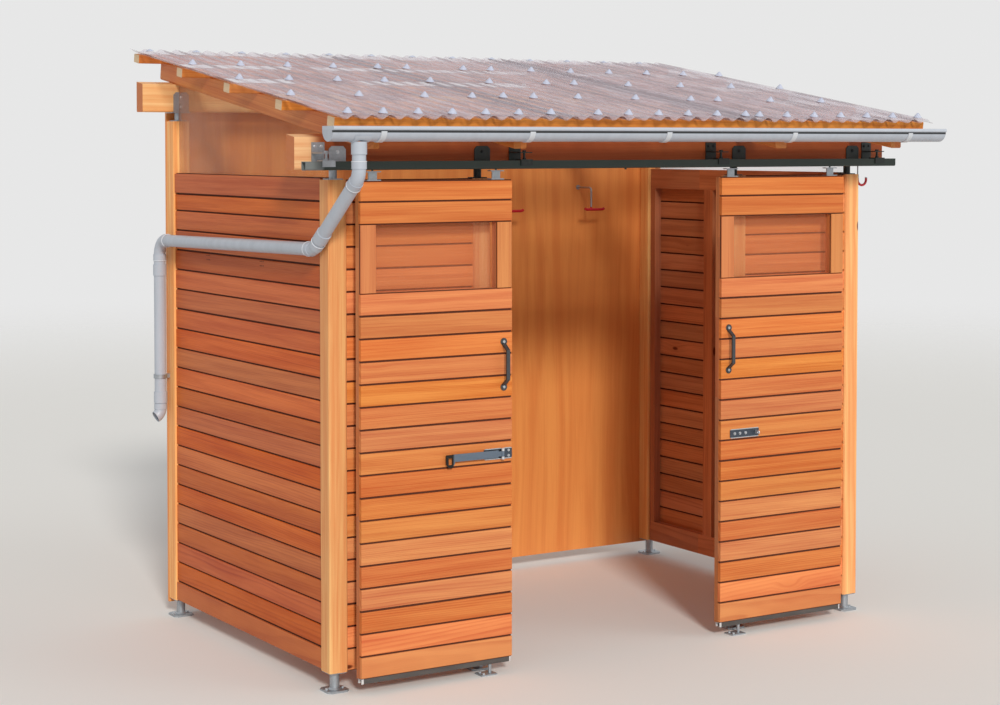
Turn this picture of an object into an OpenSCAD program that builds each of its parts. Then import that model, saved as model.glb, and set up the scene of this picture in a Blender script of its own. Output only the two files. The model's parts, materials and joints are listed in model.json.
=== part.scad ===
// Timber bike shelter with a lean-to roof of clear corrugated sheet and two sliding doors.
// Millimetres, Z up. Inside the modules X runs along the front from the outer face of the left
// corner post, Y runs back from the front face of the front posts, and Z starts at the ground.
// place() then moves that corner so that the origin is at the middle of the footprint.

/* [Overall] */
// Width over the outer faces of the corner posts
width = 2730; // [2300:10:3300]
// Depth over the outer faces of the corner posts
depth = 1600; // [1300:10:2000]
// Height of the top of the front posts
front_post_top = 2014; // [1900:1:2300]
// Roof slope in degrees
slope = 9; // [6:0.5:12]

/* [Posts and feet] */
// Side of a square post
post_side = 80; // [70:1:100]
// Height of the lower end of the posts
post_bottom = 78; // [50:1:120]
// Side of a foot plate
foot_plate = 94; // [70:1:110]
// Thickness of a foot plate
foot_plate_t = 8; // [5:1:12]
// Diameter of the round stem of a foot
foot_stem_d = 38; // [20:1:45]
// Thickness of the plate under a post
foot_cap_t = 5; // [3:1:8]
// Clear width between the two jamb posts
doorway = 1248; // [1000:1:1400]
// Chamfer along the edges of posts, beams and rafters
edge_chamfer = 5; // [2:0.5:10]

/* [Beams and roof timber] */
// Height of a beam at its front face
beam_h = 125; // [100:1:160]
// Thickness of a beam
beam_w = 70; // [60:1:78]
// Distance of a beam behind the outer faces of the posts
beam_setback = 5; // [4:1:12]
// Length of a beam past the corner posts
beam_overhang = 144; // [100:1:200]
// Space between a post and the beam above it
head_gap = 41; // [30:1:60]
// Width of a rafter
rafter_w = 60; // [45:1:70]
// Height of a rafter, square to the slope
rafter_h = 78; // [60:1:100]
// Length of a rafter behind the rear posts
rafter_tail = 92; // [60:1:120]
// Width of a purlin
purlin_w = 58; // [45:1:70]
// Height of a purlin
purlin_h = 38; // [30:1:50]
// Length of a purlin past the corner posts
purlin_overhang = 122; // [80:1:180]
// Distance of the first purlin in front of the front posts
eaves = 283; // [250:1:350]
// Distance from the first purlin to the second
first_bay = 444; // [380:1:480]
// Distance of the last purlin behind the rear posts, at its front face
last_purlin = 22; // [0:1:30]

/* [Roof sheets] */
// Pitch of the waves
wave_pitch = 76; // [60:1:90]
// Height of the waves
wave_h = 18; // [12:1:25]
// Thickness of a sheet
sheet_t = 2; // [1.5:0.5:4]
// Width of one sheet
sheet_w = 1095; // [900:5:1300]
// Least width that two sheets share
sheet_lap = 130; // [76:2:240]
// Length of a sheet past the purlins at the sides
sheet_overhang = 15; // [0:1:40]
// Length of a sheet past the first purlin
sheet_eaves = 42; // [20:1:60]
// Length of a sheet past the last purlin
sheet_top = 22; // [10:1:60]

/* [Boarding] */
// Height of one board with its joint
board_pitch = 88.8; // [70:0.2:110]
// Thickness of the boards
board_t = 20; // [15:1:25]
// Width of the joint between two boards
joint_w = 7; // [4:1:10]
// Depth of the joint between two boards
joint_d = 9; // [4:1:12]
// Bevel along the edges of a board
board_bevel = 3; // [1:0.5:5]
// Distance that the cap board and the bottom board of a side wall stand in front of the rest
board_proud = 4; // [0:0.5:6]
// Height of the cap board along the top of a side wall
cap_h = 93; // [70:1:120]
// Height of the side walls above the front posts
cap_rise = 8; // [0:1:20]
// Distance of the boards behind the outer faces of the posts
board_inset = 8; // [6:1:15]
// Thickness of a batten behind the boards
batten_t = 38; // [25:1:45]
// Width of the middle batten of a side wall
batten_w = 70; // [40:1:90]
// Distance of the middle batten of a side wall from the front
batten_y = 1000; // [400:10:1100]
// Height of the rails behind the top and foot of a side wall
rail_h = 100; // [60:1:110]
// Thickness of the clear side panes
pane_t = 10; // [4:1:16]
// Thickness of the back panels
back_t = 15; // [9:1:21]
// Height of the lower edge of the back panels
back_bottom = 58; // [30:1:90]
// Height of the back panels behind the rear beam
back_lap = 84; // [40:1:110]

/* [Doors] */
// Width of a door
door_w = 694; // [640:1:740]
// Height of the lower edge of a door
door_bottom = 63; // [50:1:90]
// Distance of the top of a door below the top of the posts
door_top_gap = 4; // [0:1:20]
// Distance of the front face of a door in front of the posts
door_y = 90; // [80:1:110]
// Thickness of the door boards
door_board_t = 18; // [15:1:22]
// Thickness of the door frame behind the boards
door_frame_t = 24; // [18:1:30]
// Width of the stiles beside a door window
stile_w = 69; // [50:1:90]
// Number of boards above a door window
boards_above = 2; // [1:1:4]
// Number of boards that a door window replaces
boards_window = 3; // [2:1:5]
// Place of the left door, open as it stands
left_open = 92; // [40:1:110]
// Distance of the right door, open as it stands, from the right end of the front
door_right_gap = 174; // [80:1:200]
// Thickness of a door pane
door_pane_t = 3; // [2:1:5]
// Space between the two doors when they are closed
doors_gap = 6; // [4:1:10]

/* [Door track] */
// Width of the track tube
track_w = 36; // [30:1:45]
// Height of the track tube
track_h = 34; // [28:1:40]
// Wall of the track tube
track_wall = 2.5; // [2:0.5:4]
// Width of the slot under the track
track_slot = 12; // [9:1:16]
// Length of the track past the corner posts
track_overhang = 142; // [100:1:170]
// Height of the gap between a door and the track
track_gap = 42; // [35:1:60]
// Distance of a hanger from the edge of its door
hanger_inset = 64; // [40:1:90]
// Height of the channel under a door
channel_h = 20; // [14:1:26]
// Width of the channel under a door
channel_w = 28; // [20:1:34]

/* [Fittings] */
// Distance of the inner bicycle hooks from the middle of the back wall
hook_inner = 405; // [300:5:500]
// Distance of the outer bicycle hooks from the middle of the back wall
hook_outer = 895; // [750:5:1050]
// Height of the hook rods where they leave the back wall
hook_z = 1930; // [1700:5:2000]
// Length of a door handle
handle_l = 210; // [150:1:260]
// Height of the middle of a handle
handle_z = 1262; // [1000:1:1400]
// Height of the middle of the locking bar
lock_z = 901; // [800:1:1100]
// Length of the locking bar from its pin to its slot
lock_l = 247; // [200:1:280]

/* [Gutter and downpipe] */
// Outer radius of the gutter
gutter_r = 45; // [38:1:55]
// Height of the gutter above its half round
gutter_lip = 13; // [5:1:20]
// Wall of the gutter
gutter_wall = 2.5; // [2:0.5:4]
// Length of the gutter past the corner posts
gutter_overhang = 173; // [140:1:220]
// Depth of the gutter rim below the top of the first purlin
gutter_drop = 32; // [15:1:40]
// Outer diameter of the downpipe
pipe_d = 53; // [45:1:70]
// Wall of the downpipe
pipe_wall = 2.5; // [2:0.5:4]
// Space between the downpipe and the side wall posts
pipe_gap = 16; // [6:1:30]
// Height of the pipe run where it leaves the front corner
pipe_run_z = 1744; // [1600:1:1850]
// Height of the lower end of the downpipe
pipe_end_z = 1020; // [900:1:1200]

/* [Hidden] */

timber = "#c8732e";
timber_light = "#dd9550";
panel_wood = "#cf7f3a";
zinc = "#9aa0a3";
dark_green = "#26362f";
grey_plastic = "#98a2aa";
clear = "#cfd6d8";
red = "#b5222a";

seat_gap = 0.3;
bed_gap = 0.05;
rise = tan(slope);
front_beam_top = front_post_top + head_gap + beam_h;
front_beam_y = beam_setback;
rear_beam_y = depth - beam_setback - beam_w;
rear_beam_top = front_beam_top + rise * (rear_beam_y - front_beam_y);
rear_beam_bottom = rear_beam_top - beam_h;
rear_post_top = rear_beam_bottom - head_gap;
jamb_left_x = (width - doorway) / 2 - post_side;
jamb_right_x = (width + doorway) / 2;
post_xs = [0, jamb_left_x, jamb_right_x, width - post_side];

gutter_y = -eaves - 4 - gutter_r;
gutter_front = gutter_y - gutter_r;
roof_front = -eaves - sheet_eaves;
roof_back = depth + last_purlin + purlin_w + sheet_top;
centre_x = width / 2;
roof_lean = (purlin_h + seat_gap) * sin(slope);
bead_r = 8;
bead_out = 6;
centre_y = (gutter_front - bead_out + roof_back - roof_lean) / 2;

door_top = front_post_top - door_top_gap;
door_h = door_top - door_bottom;
door_rows = round(door_h / board_pitch);
door_t = door_board_t + door_frame_t;
door_back = -door_y + door_t;
right_open = width - door_right_gap - door_w;
window_top = door_bottom + (door_rows - boards_above) * board_pitch;
window_bottom = window_top - boards_window * board_pitch;
track_y = -door_y + door_t / 2;
track_z = door_top + track_gap;

// Underside of the rafters at a distance from the front
function under(y) = front_beam_top + rise * (y - front_beam_y);
// Top side of the rafters, on which the purlins lie
function over(y) = under(y) + rafter_h / cos(slope);

module place() {
    translate([-centre_x, -centre_y, 0]) children();
}

// Draws children, whose outline is in Y and Z, as a bar along X
module along_x(x0, length) {
    translate([x0, 0, 0]) rotate([90, 0, 90]) linear_extrude(length) children();
}

module mirror_x() {
    translate([width, 0, 0]) mirror([1, 0, 0]) children();
}

// Outline of a rectangle with chamfered corners
module chamfered(w, h, c) {
    polygon([
        [c, 0], [w - c, 0], [w, c], [w, h - c], [w - c, h], [c, h], [0, h - c], [0, c]
    ]);
}

// Moves children onto the top side of the rafters
module on_slope(y) {
    translate([0, y, over(y)]) rotate([slope, 0, 0]) translate([0, 0, bed_gap]) children();
}

/* Posts, feet and head brackets */

module post(x, y, top) {
    translate([x, y, post_bottom]) linear_extrude(top - post_bottom)
        chamfered(post_side, post_side, edge_chamfer);
}

module post_front_left() {
    color(timber_light) place() post(0, 0, front_post_top);
}

module post_front_right() {
    color(timber_light) place() post(width - post_side, 0, front_post_top);
}

module post_rear_left() {
    color(timber_light) place() post(0, depth - post_side, rear_post_top);
}

module post_rear_right() {
    color(timber_light) place() post(width - post_side, depth - post_side, rear_post_top);
}

module post_jamb_left() {
    color(timber_light) place() post(jamb_left_x, 0, front_post_top);
}

module post_jamb_right() {
    color(timber_light) place() post(jamb_right_x, 0, front_post_top);
}

foot_corner = 14;
foot_flare = 7;

// Plate on the ground, round stem that widens to the plate, and plate under the post
module foot() {
    cap_side = post_side - 10;
    r = foot_stem_d / 2;
    top = post_bottom - foot_cap_t / 2;
    translate([-foot_plate / 2, -foot_plate / 2, 0]) linear_extrude(foot_plate_t)
        chamfered(foot_plate, foot_plate, foot_corner);
    rotate_extrude($fn = 48)
        polygon([
            [0, 1], [r + foot_flare, 1], [r + foot_flare, foot_plate_t],
            [r, foot_plate_t + foot_flare], [r, top], [0, top]
        ]);
    translate([-cap_side / 2, -cap_side / 2, post_bottom - foot_cap_t])
        cube([cap_side, cap_side, foot_cap_t]);
}

module post_feet() {
    mid = post_side / 2;
    color(zinc) place() {
        for (x = post_xs) translate([x + mid, mid, 0]) foot();
        for (x = [post_xs[0], post_xs[3]]) translate([x + mid, depth - mid, 0]) foot();
    }
}

head_flange_w = 90;
head_plate_w = 74;
head_plate_h = 92;
head_plate_t = 4;
head_stem_d = 32;
head_corner = 12;

// One cheek of a bracket, which stands upright beside the beam
module head_cheek() {
    w = head_plate_w / 2;
    h = head_plate_h;
    rotate([90, 0, 0]) linear_extrude(head_plate_t)
        polygon([
            [-w, 0], [w, 0], [w, h - head_corner], [w - head_corner, h],
            [-w + head_corner, h], [-w, h - head_corner]
        ]);
}

// U bracket that holds a beam clear of the post below
module head_bracket() {
    cheek = beam_w / 2 + head_plate_t;
    base = post_side - 14;
    translate([-base / 2, -base / 2, 0]) linear_extrude(head_plate_t)
        chamfered(base, base, head_corner);
    translate([0, 0, 1]) cylinder(h = head_gap - 1 - head_plate_t / 2, d = head_stem_d, $fn = 48);
    translate([-head_flange_w / 2, -cheek, head_gap - head_plate_t])
        cube([head_flange_w, 2 * cheek, head_plate_t]);
    for (side = [-beam_w / 2, cheek])
        translate([0, side, head_gap - head_plate_t / 2]) head_cheek();
}

module head_brackets() {
    mid = post_side / 2;
    color(zinc) place() {
        for (x = post_xs)
            translate([x + mid, front_beam_y + beam_w / 2, front_post_top]) head_bracket();
        for (x = [post_xs[0], post_xs[3]])
            translate([x + mid, rear_beam_y + beam_w / 2, rear_post_top]) head_bracket();
    }
}

/* Beams, rafters and purlins */

// A beam whose top is planed to the roof slope, with chamfers along its lower edges
module beam(y, top) {
    c = edge_chamfer;
    foot = top - beam_h;
    along_x(-beam_overhang, width + 2 * beam_overhang)
        polygon([
            [y + c, foot], [y + beam_w - c, foot], [y + beam_w, foot + c],
            [y + beam_w, top + rise * beam_w], [y, top], [y, foot + c]
        ]);
}

module beam_front() {
    color(timber) place() beam(front_beam_y, front_beam_top);
}

module beam_rear() {
    color(timber) place() beam(rear_beam_y, rear_beam_top);
}

// A bar in line with the slope, whose lower edges are chamfered
module slope_bar(x) {
    c = edge_chamfer;
    reach = depth + eaves;
    translate([x, 0, under(0)]) rotate([slope, 0, 0]) translate([0, 2 * reach, 0])
        rotate([90, 0, 0]) linear_extrude(3 * reach)
            polygon([
                [c, 0], [rafter_w - c, 0], [rafter_w, c],
                [rafter_w, rafter_h], [0, rafter_h], [0, c]
            ]);
}

// A rafter with an upright front end and a square back end
module rafter(x) {
    front_end = -eaves;
    back_end = depth + rafter_tail;
    lean = rafter_h * sin(slope);
    lift = rafter_h * cos(slope);
    high = under(back_end) + 3 * lift;
    intersection() {
        slope_bar(x);
        along_x(x - 1, rafter_w + 2)
            polygon([
                [front_end, under(front_end) - lift], [back_end + lean, under(back_end) - lift],
                [back_end - 3 * lean, high], [front_end, high]
            ]);
    }
}

module rafters() {
    side = (post_side - rafter_w) / 2;
    color(timber) place() for (x = post_xs) rafter(x + side);
}

purlin_last_y = depth + last_purlin;
purlin_second_y = -eaves + first_bay;
purlin_step = (purlin_last_y - purlin_second_y) / 3;
purlin_ys = concat([-eaves], [for (i = [0:3]) purlin_second_y + i * purlin_step]);
purlin_edge = 3;

module purlins() {
    color(timber_light) place()
        for (y = purlin_ys)
            on_slope(y)
                along_x(-purlin_overhang, width + 2 * purlin_overhang)
                    chamfered(purlin_w, purlin_h, purlin_edge);
}

/* Roof sheets */

wave_steps = 8;
roof_left = -purlin_overhang - sheet_overhang;
roof_w = width - 2 * roof_left;
sheet_count = ceil((roof_w - sheet_lap) / (sheet_w - sheet_lap));
sheet_step = (roof_w - sheet_w) / (sheet_count - 1);
sheet_length = (roof_back - roof_front) / cos(slope);

// Height of the waves at one of their steps, with a crest at the left edge of the roof
function wave_step(i) = wave_h * (1 + cos(360 * i / wave_steps)) / 2;

// Height of the underside of the waves above the purlins
function wave(x) = let (u = (x - roof_left) / wave_pitch * wave_steps, i = floor(u))
    wave_step(i) + (u - i) * (wave_step(i + 1) - wave_step(i));

// Places along a sheet from x0, at its ends and at the steps of the waves between them
function sheet_xs(x0) = let (
    step = wave_pitch / wave_steps,
    first = ceil((x0 + 1 - roof_left) / step),
    last = floor((x0 + sheet_w - 1 - roof_left) / step)
) concat([x0], [for (i = [first:last]) roof_left + i * step], [x0 + sheet_w]);

module roof_sheet(x0, lift) {
    xs = sheet_xs(x0);
    last = len(xs) - 1;
    outline = concat(
        [for (x = xs) [x, wave(x)]],
        [for (i = [last:-1:0]) [xs[i], wave(xs[i]) + sheet_t]]
    );
    on_slope(0)
        translate([0, roof_front / cos(slope), purlin_h + seat_gap + lift])
            rotate([90, 0, 0])
                translate([0, 0, -sheet_length])
                    linear_extrude(sheet_length) polygon(outline);
}

// Sheets side by side, every second one lying over the edges of its neighbours
module roof_sheets() {
    color(clear, 0.4) place()
        for (i = [0:sheet_count - 1])
            roof_sheet(roof_left + i * sheet_step, (i % 2) * (sheet_t + seat_gap));
}

/* Boarding, battens and panes */

// The corners of one board from the joint below it to the joint above it
function board_points(z0, z1, face) = [
    [joint_d, z0], [face + board_bevel, z0], [face, z0 + board_bevel],
    [face, z1 - board_bevel], [face + board_bevel, z1], [joint_d, z1]
];

// Outline of a boarded wall in its thickness and height, with the outer face at 0. The joints
// are counted from the bottom, and the bottom board and a cap board may stand proud
module board_outline(bottom, top, step, t, proud, cap) {
    rows = round((top - cap - bottom) / step);
    half = joint_w / 2;
    boards_top = top - cap;
    joints = [for (i = [1:rows - 1]) bottom + i * step];
    polygon(concat(
        board_points(bottom, joints[0] - half, -proud),
        [for (i = [1:rows - 2]) each board_points(joints[i - 1] + half, joints[i] - half, 0)],
        board_points(joints[rows - 2] + half, boards_top - (cap > 0 ? half : 0), 0),
        cap > 0 ? board_points(boards_top + half, top, -proud) : [],
        [[t, top], [t, bottom]]
    ));
}

side_top = front_post_top + cap_rise;

module side_boards() {
    translate([board_inset, depth - post_side, 0]) rotate([90, 0, 0])
        linear_extrude(depth - 2 * post_side)
            board_outline(post_bottom, side_top, board_pitch, board_t, board_proud, cap_h);
}

module side_boards_left() {
    color(timber) place() side_boards();
}

module side_boards_right() {
    color(timber) place() mirror_x() side_boards();
}

front_rows = round((front_post_top - post_bottom) / board_pitch);
front_step = (front_post_top - post_bottom) / front_rows;

module front_boards() {
    translate([0, board_inset, 0])
        along_x(post_side, jamb_left_x - post_side)
            board_outline(post_bottom, front_post_top, front_step, board_t, 0, 0);
}

module front_boards_left() {
    color(timber) place() front_boards();
}

module front_boards_right() {
    color(timber) place() mirror_x() front_boards();
}

batten_in = board_inset + board_t;
front_batten_inset = 38;

// Rails, uprights and a middle batten behind a side wall, and two uprights behind the front
module wall_battens() {
    run = depth - 2 * post_side;
    low = post_bottom + rail_h + seat_gap;
    h = side_top - rail_h - seat_gap - low;
    for (z = [post_bottom, side_top - rail_h])
        translate([batten_in, post_side, z]) cube([batten_t, run, rail_h]);
    for (y = [post_side, depth - post_side - batten_t])
        translate([batten_in, y, low]) cube([batten_t, batten_t, h]);
    translate([batten_in, batten_y, low]) cube([batten_t, batten_w, h]);
    for (x = [post_side + front_batten_inset, jamb_left_x - batten_t])
        translate([x, batten_in, post_bottom])
            cube([batten_t, batten_t, front_post_top - post_bottom]);
}

module battens() {
    color(timber) place() {
        wall_battens();
        mirror_x() wall_battens();
    }
}

// A pane on the top rail, between the beams and the posts and up to the rafter
module side_pane() {
    y0 = max(post_side, front_beam_y + beam_w + head_plate_t) + seat_gap;
    y1 = min(depth - post_side, rear_beam_y - head_plate_t) - seat_gap;
    z0 = side_top + seat_gap;
    along_x(batten_in + seat_gap, pane_t)
        polygon([[y0, z0], [y1, z0], [y1, under(y1) - seat_gap], [y0, under(y0) - seat_gap]]);
}

module side_panes() {
    color(clear, 0.35) place() {
        side_pane();
        mirror_x() side_pane();
    }
}

back_joint = 0.5;

module back_panels() {
    panel_w = (width - 2 * back_joint) / 3;
    top = rear_beam_bottom + back_lap;
    color(panel_wood) place()
        for (i = [0:2])
            translate([i * (panel_w + back_joint), depth, back_bottom])
                cube([panel_w, back_t, top - back_bottom]);
}

/* Gutter and downpipe */

gutter_rim_z = over(-eaves) + purlin_h / cos(slope) - gutter_drop;
gutter_z = gutter_rim_z - gutter_lip;
gutter_x0 = -gutter_overhang;
gutter_l = width + 2 * gutter_overhang;
cap_t = 3;
pipe_x = -pipe_gap - pipe_d / 2;

// Half round with upright sides, of an outer radius, about the middle of the gutter
module gutter_outline(r, lip) {
    intersection() {
        circle(r, $fn = 96);
        translate([-r, -r]) square([2 * r, r]);
    }
    translate([-r, 0]) square([2 * r, lip]);
}

// The round bead along the front rim
module gutter_bead() {
    translate([bead_r - gutter_r - bead_out, gutter_lip - bead_r]) circle(bead_r, $fn = 32);
}

module gutter() {
    color(grey_plastic) place()
        difference() {
            along_x(gutter_x0 + cap_t, gutter_l - 2 * cap_t)
                translate([gutter_y, gutter_z]) {
                    difference() {
                        gutter_outline(gutter_r, gutter_lip);
                        translate([0, 0.01])
                            gutter_outline(gutter_r - gutter_wall, gutter_lip + bead_r);
                    }
                    gutter_bead();
                }
            translate([pipe_x, gutter_y, gutter_z - gutter_r - 5])
                cylinder(h = gutter_r, d = pipe_d - 2 * pipe_wall, $fn = 64);
        }
}

module gutter_cap() {
    along_x(0, cap_t)
        translate([gutter_y, gutter_z]) {
            gutter_outline(gutter_r, gutter_lip);
            gutter_bead();
        }
}

module gutter_caps() {
    color(grey_plastic) place() {
        translate([gutter_x0, 0, 0]) gutter_cap();
        translate([gutter_x0 + gutter_l - cap_t, 0, 0]) gutter_cap();
    }
}

strap_w = 24;
strap_t = 3;
strap_front = 6;
strap_below_rim = 8;
strap_xs = concat([for (x = post_xs) x + post_side / 2], [width / 2]);

// A strap around the gutter from below the bead to its back rim
module gutter_strap() {
    reach = gutter_r + seat_gap;
    along_x(0, strap_w)
        translate([gutter_y, gutter_z])
            difference() {
                union() {
                    intersection() {
                        circle(reach + strap_t, $fn = 96);
                        translate([-reach - strap_t, -reach - strap_t])
                            square([2 * (reach + strap_t), reach + strap_t]);
                    }
                    translate([reach, 0]) square([strap_t, gutter_lip - strap_below_rim]);
                }
                circle(reach, $fn = 96);
                translate([-2 * reach, -strap_front]) square([2 * reach, 2 * strap_front]);
            }
}

module gutter_brackets() {
    color(grey_plastic) place()
        for (x = strap_xs) translate([x - strap_w / 2, 0, 0]) gutter_strap();
}

socket_d = pipe_d + 7;
outlet_h = 48;
outlet_saddle = 70;

module gutter_outlet() {
    reach = gutter_r + seat_gap;
    color(grey_plastic) place()
        translate([pipe_x, gutter_y, gutter_z])
            difference() {
                union() {
                    translate([-outlet_saddle / 2, 0, 0]) rotate([0, 90, 0])
                        cylinder(h = outlet_saddle, r = reach + strap_t, $fn = 96);
                    translate([0, 0, -gutter_r - outlet_h]) cylinder(h = outlet_h, d = socket_d, $fn = 64);
                }
                rotate([0, 90, 0])
                    cylinder(h = 2 * outlet_saddle, r = reach, center = true, $fn = 96);
                translate([-outlet_saddle, -2 * gutter_r, -0.5 * gutter_r])
                    cube([2 * outlet_saddle, 4 * gutter_r, 2 * gutter_r]);
                translate([0, 0, -gutter_r - outlet_h - 1])
                    cylinder(h = outlet_h + 10, d = pipe_d + 2 * seat_gap, $fn = 64);
            }
}

// The route of the downpipe in Y and Z, with a bend at each corner
pipe_bend = 70;
drop_top = gutter_z - gutter_r - 12;
drop_corner = [gutter_y, gutter_z - gutter_r - 132];
run_fall = 1;
run_start = [40, pipe_run_z];
down_y = depth - 15;
run_end = [down_y, pipe_run_z - (down_y - run_start[0]) * tan(run_fall)];
drop_angle = atan2(run_start[1] - drop_corner[1], run_start[0] - drop_corner[0]);
socket_l = 42;
socket_grip = 8;
join_slant = 80;
join_down = 50;
collar_l = 24;
collar_in = 5;
leg_gap = 0.3;
bend_a = pipe_bend * tan((drop_angle + 90) / 2);
bend_b = pipe_bend * tan((-run_fall - drop_angle) / 2);
bend_c = pipe_bend * tan((90 - run_fall) / 2);
slant_l = norm(run_start - drop_corner) - bend_a - bend_b;
run_l = norm(run_end - run_start) - bend_b - bend_c;
down_top = run_end[1] - bend_c - join_down;

// A point at a distance from p in the direction a
function ahead(p, a, length) = p + length * [cos(a), sin(a)];

module tube_on_z(length, outer, inner) {
    difference() {
        cylinder(h = length, d = outer, $fn = 64);
        translate([0, 0, -1]) cylinder(h = length + 2, d = inner, $fn = 64);
    }
}

// A straight pipe from p in the direction a, in the plane of the route
module pipe_leg(p, a, length) {
    translate([pipe_x, p[0], p[1]]) rotate([a - 90, 0, 0])
        tube_on_z(length, pipe_d, pipe_d - 2 * pipe_wall);
}

// A collar over the pipe at p, from one distance to another in the direction a
module pipe_collar(p, a, from, to) {
    inside = pipe_d / 2 - 0.6;
    translate([pipe_x, p[0], p[1]]) rotate([a - 90, 0, 0])
        rotate_extrude($fn = 64)
            polygon([
                [inside, from], [pipe_d / 2 + 2.5, from], [pipe_d / 2 + 2.5, to], [inside, to]
            ]);
}

// A bend at the corner p, from the direction a to the direction b
module pipe_corner(p, a, b) {
    turn = b - a;
    left = turn > 0 ? 1 : -1;
    start = ahead(p, a, -pipe_bend * tan(abs(turn) / 2));
    centre = start + left * pipe_bend * [-sin(a), cos(a)];
    first = left > 0 ? a - 90 : b + 90;
    finish = centre - left * pipe_bend * [-sin(b), cos(b)];
    pipe_collar(start, a, -collar_l, collar_in);
    pipe_collar(finish, b, -collar_in, collar_l);
    translate([pipe_x, centre[0], centre[1]]) rotate([90, 0, 90]) rotate([0, 0, first])
        rotate_extrude(angle = abs(turn), $fn = 96)
            translate([pipe_bend, 0]) difference() {
                circle(d = pipe_d, $fn = 64);
                circle(d = pipe_d - 2 * pipe_wall, $fn = 64);
            }
}

// The wide end of a pipe at p, which takes the end of the next one
module pipe_socket(p, a) {
    hole = pipe_d / 2 + seat_gap;
    translate([pipe_x, p[0], p[1]]) rotate([a - 90, 0, 0])
        rotate_extrude($fn = 64)
            polygon([
                [pipe_d / 2 - 0.5, -socket_grip], [socket_d / 2, -socket_grip],
                [socket_d / 2, socket_l], [hole, socket_l], [hole, 0], [pipe_d / 2 - 0.5, 0]
            ]);
}

module pipe_drop() {
    top = [gutter_y, drop_top];
    slant = ahead(drop_corner, drop_angle, bend_a + leg_gap);
    join = ahead(slant, drop_angle, slant_l - join_slant);
    color(grey_plastic) place() {
        pipe_leg(top, -90, drop_top - drop_corner[1] - bend_a - leg_gap);
        pipe_corner(drop_corner, -90, drop_angle);
        pipe_leg(slant, drop_angle, slant_l - join_slant - 1);
        pipe_socket(join, drop_angle);
    }
}

module pipe_run() {
    slant_end = ahead(run_start, drop_angle, -bend_b);
    slant_l = join_slant - 2 * leg_gap - seat_gap;
    color(grey_plastic) place() {
        pipe_leg(ahead(slant_end, drop_angle, -leg_gap - slant_l), drop_angle, slant_l);
        pipe_corner(run_start, drop_angle, -run_fall);
        pipe_leg(ahead(run_start, -run_fall, bend_b + leg_gap), -run_fall, run_l - 2 * leg_gap);
        pipe_corner(run_end, -run_fall, -90);
        pipe_leg([down_y, run_end[1] - bend_c - leg_gap], -90, join_down - 1 - leg_gap);
        pipe_socket([down_y, down_top], -90);
    }
}

module pipe_down() {
    color(grey_plastic) place() {
        pipe_leg([down_y, down_top - seat_gap], -90, down_top - seat_gap - pipe_end_z - 1);
        pipe_socket([down_y, pipe_end_z], -90);
    }
}

shoe_turn = 62;
shoe_bend = 45;
shoe_leg = 66;

// The outlet at the foot of the downpipe, turned away from the wall
module pipe_shoe() {
    top = pipe_end_z - seat_gap;
    color(grey_plastic) place() {
        pipe_leg([down_y, top], -90, shoe_leg);
        pipe_collar([down_y, top], -90, socket_l + 4, shoe_leg + collar_in);
        translate([pipe_x - shoe_bend, down_y, top - shoe_leg - leg_gap])
            rotate([90, 0, 0]) rotate([0, 0, -shoe_turn])
                rotate_extrude(angle = shoe_turn, $fn = 96)
                    translate([shoe_bend, 0]) difference() {
                        circle(d = pipe_d, $fn = 64);
                        circle(d = pipe_d - 2 * pipe_wall, $fn = 64);
                    }
    }
}

clip_w = 18;
clip_t = 4;
clip_below = 70;

module pipe_clip() {
    inner = pipe_d + 2 * seat_gap;
    color(grey_plastic) place()
        translate([pipe_x, down_y, pipe_end_z + clip_below]) {
            tube_on_z(clip_w, inner + 2 * clip_t, inner);
            translate([inner / 2 + clip_t / 2, -clip_w / 2, 0])
                cube([-pipe_x - inner / 2 - clip_t / 2, clip_w, clip_w]);
        }
}

/* Door track and its brackets */

track_x0 = -track_overhang;
track_l = width + 2 * track_overhang;

track_round = 8;

// Outline of a bar whose lower corners are rounded
module round_below(w, h, r) {
    translate([-w / 2, r]) square([w, h - r]);
    translate([r - w / 2, 0]) square([w - 2 * r, h]);
    for (x = [r - w / 2, w / 2 - r]) translate([x, r]) circle(r, $fn = 32);
}

// The track tube with the slot under it
module track_outline() {
    t = track_wall;
    difference() {
        round_below(track_w, track_h, track_round);
        translate([0, t]) round_below(track_w - 2 * t, track_h - 2 * t, track_round - t);
        translate([-track_slot / 2, -1]) square([track_slot, t + 2]);
    }
}

module track() {
    color(dark_green) place()
        along_x(track_x0, track_l) translate([track_y, track_z]) track_outline();
}

track_bracket_w = 56;
track_bracket_t = 4;
track_bracket_xs = [-44, 858, width - 858, width + 44];
track_bracket_lip = 14;
track_bolt_d = 10;
track_bolt_l = 30;
track_nut = [17, 8];

// A clamp over the track, a bolt that stands on it and an angle plate on the beam
module track_bracket() {
    t = track_bracket_t;
    side = track_w / 2 + seat_gap;
    clamp_top = track_h + seat_gap + t;
    leg_z = clamp_top + track_bolt_l - t;
    wall_y = front_beam_y - track_y;
    translate([0, track_y, track_z]) {
        along_x(-track_bracket_w / 2, track_bracket_w) {
            difference() {
                translate([-side - t, 0]) square([2 * (side + t), clamp_top]);
                translate([-side, -1]) square([2 * side, clamp_top - t + 1]);
                translate([-side - t - 1, -1]) square([t + 2, track_bracket_lip]);
            }
            translate([-side, leg_z]) square([side + wall_y, t]);
            translate([wall_y - t, track_bracket_lip])
                square([t, front_beam_top - track_z - track_bracket_lip - 20]);
        }
        translate([0, 0, clamp_top - t / 2])
            cylinder(h = track_bolt_l + track_nut[1], d = track_bolt_d, $fn = 32);
        for (z = [clamp_top - 1, leg_z + t - 1])
            translate([0, 0, z]) cylinder(h = track_nut[1], d = track_nut[0], $fn = 6);
    }
}

module track_brackets() {
    color(zinc) place() for (x = track_bracket_xs) translate([x, 0, 0]) track_bracket();
}

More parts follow.
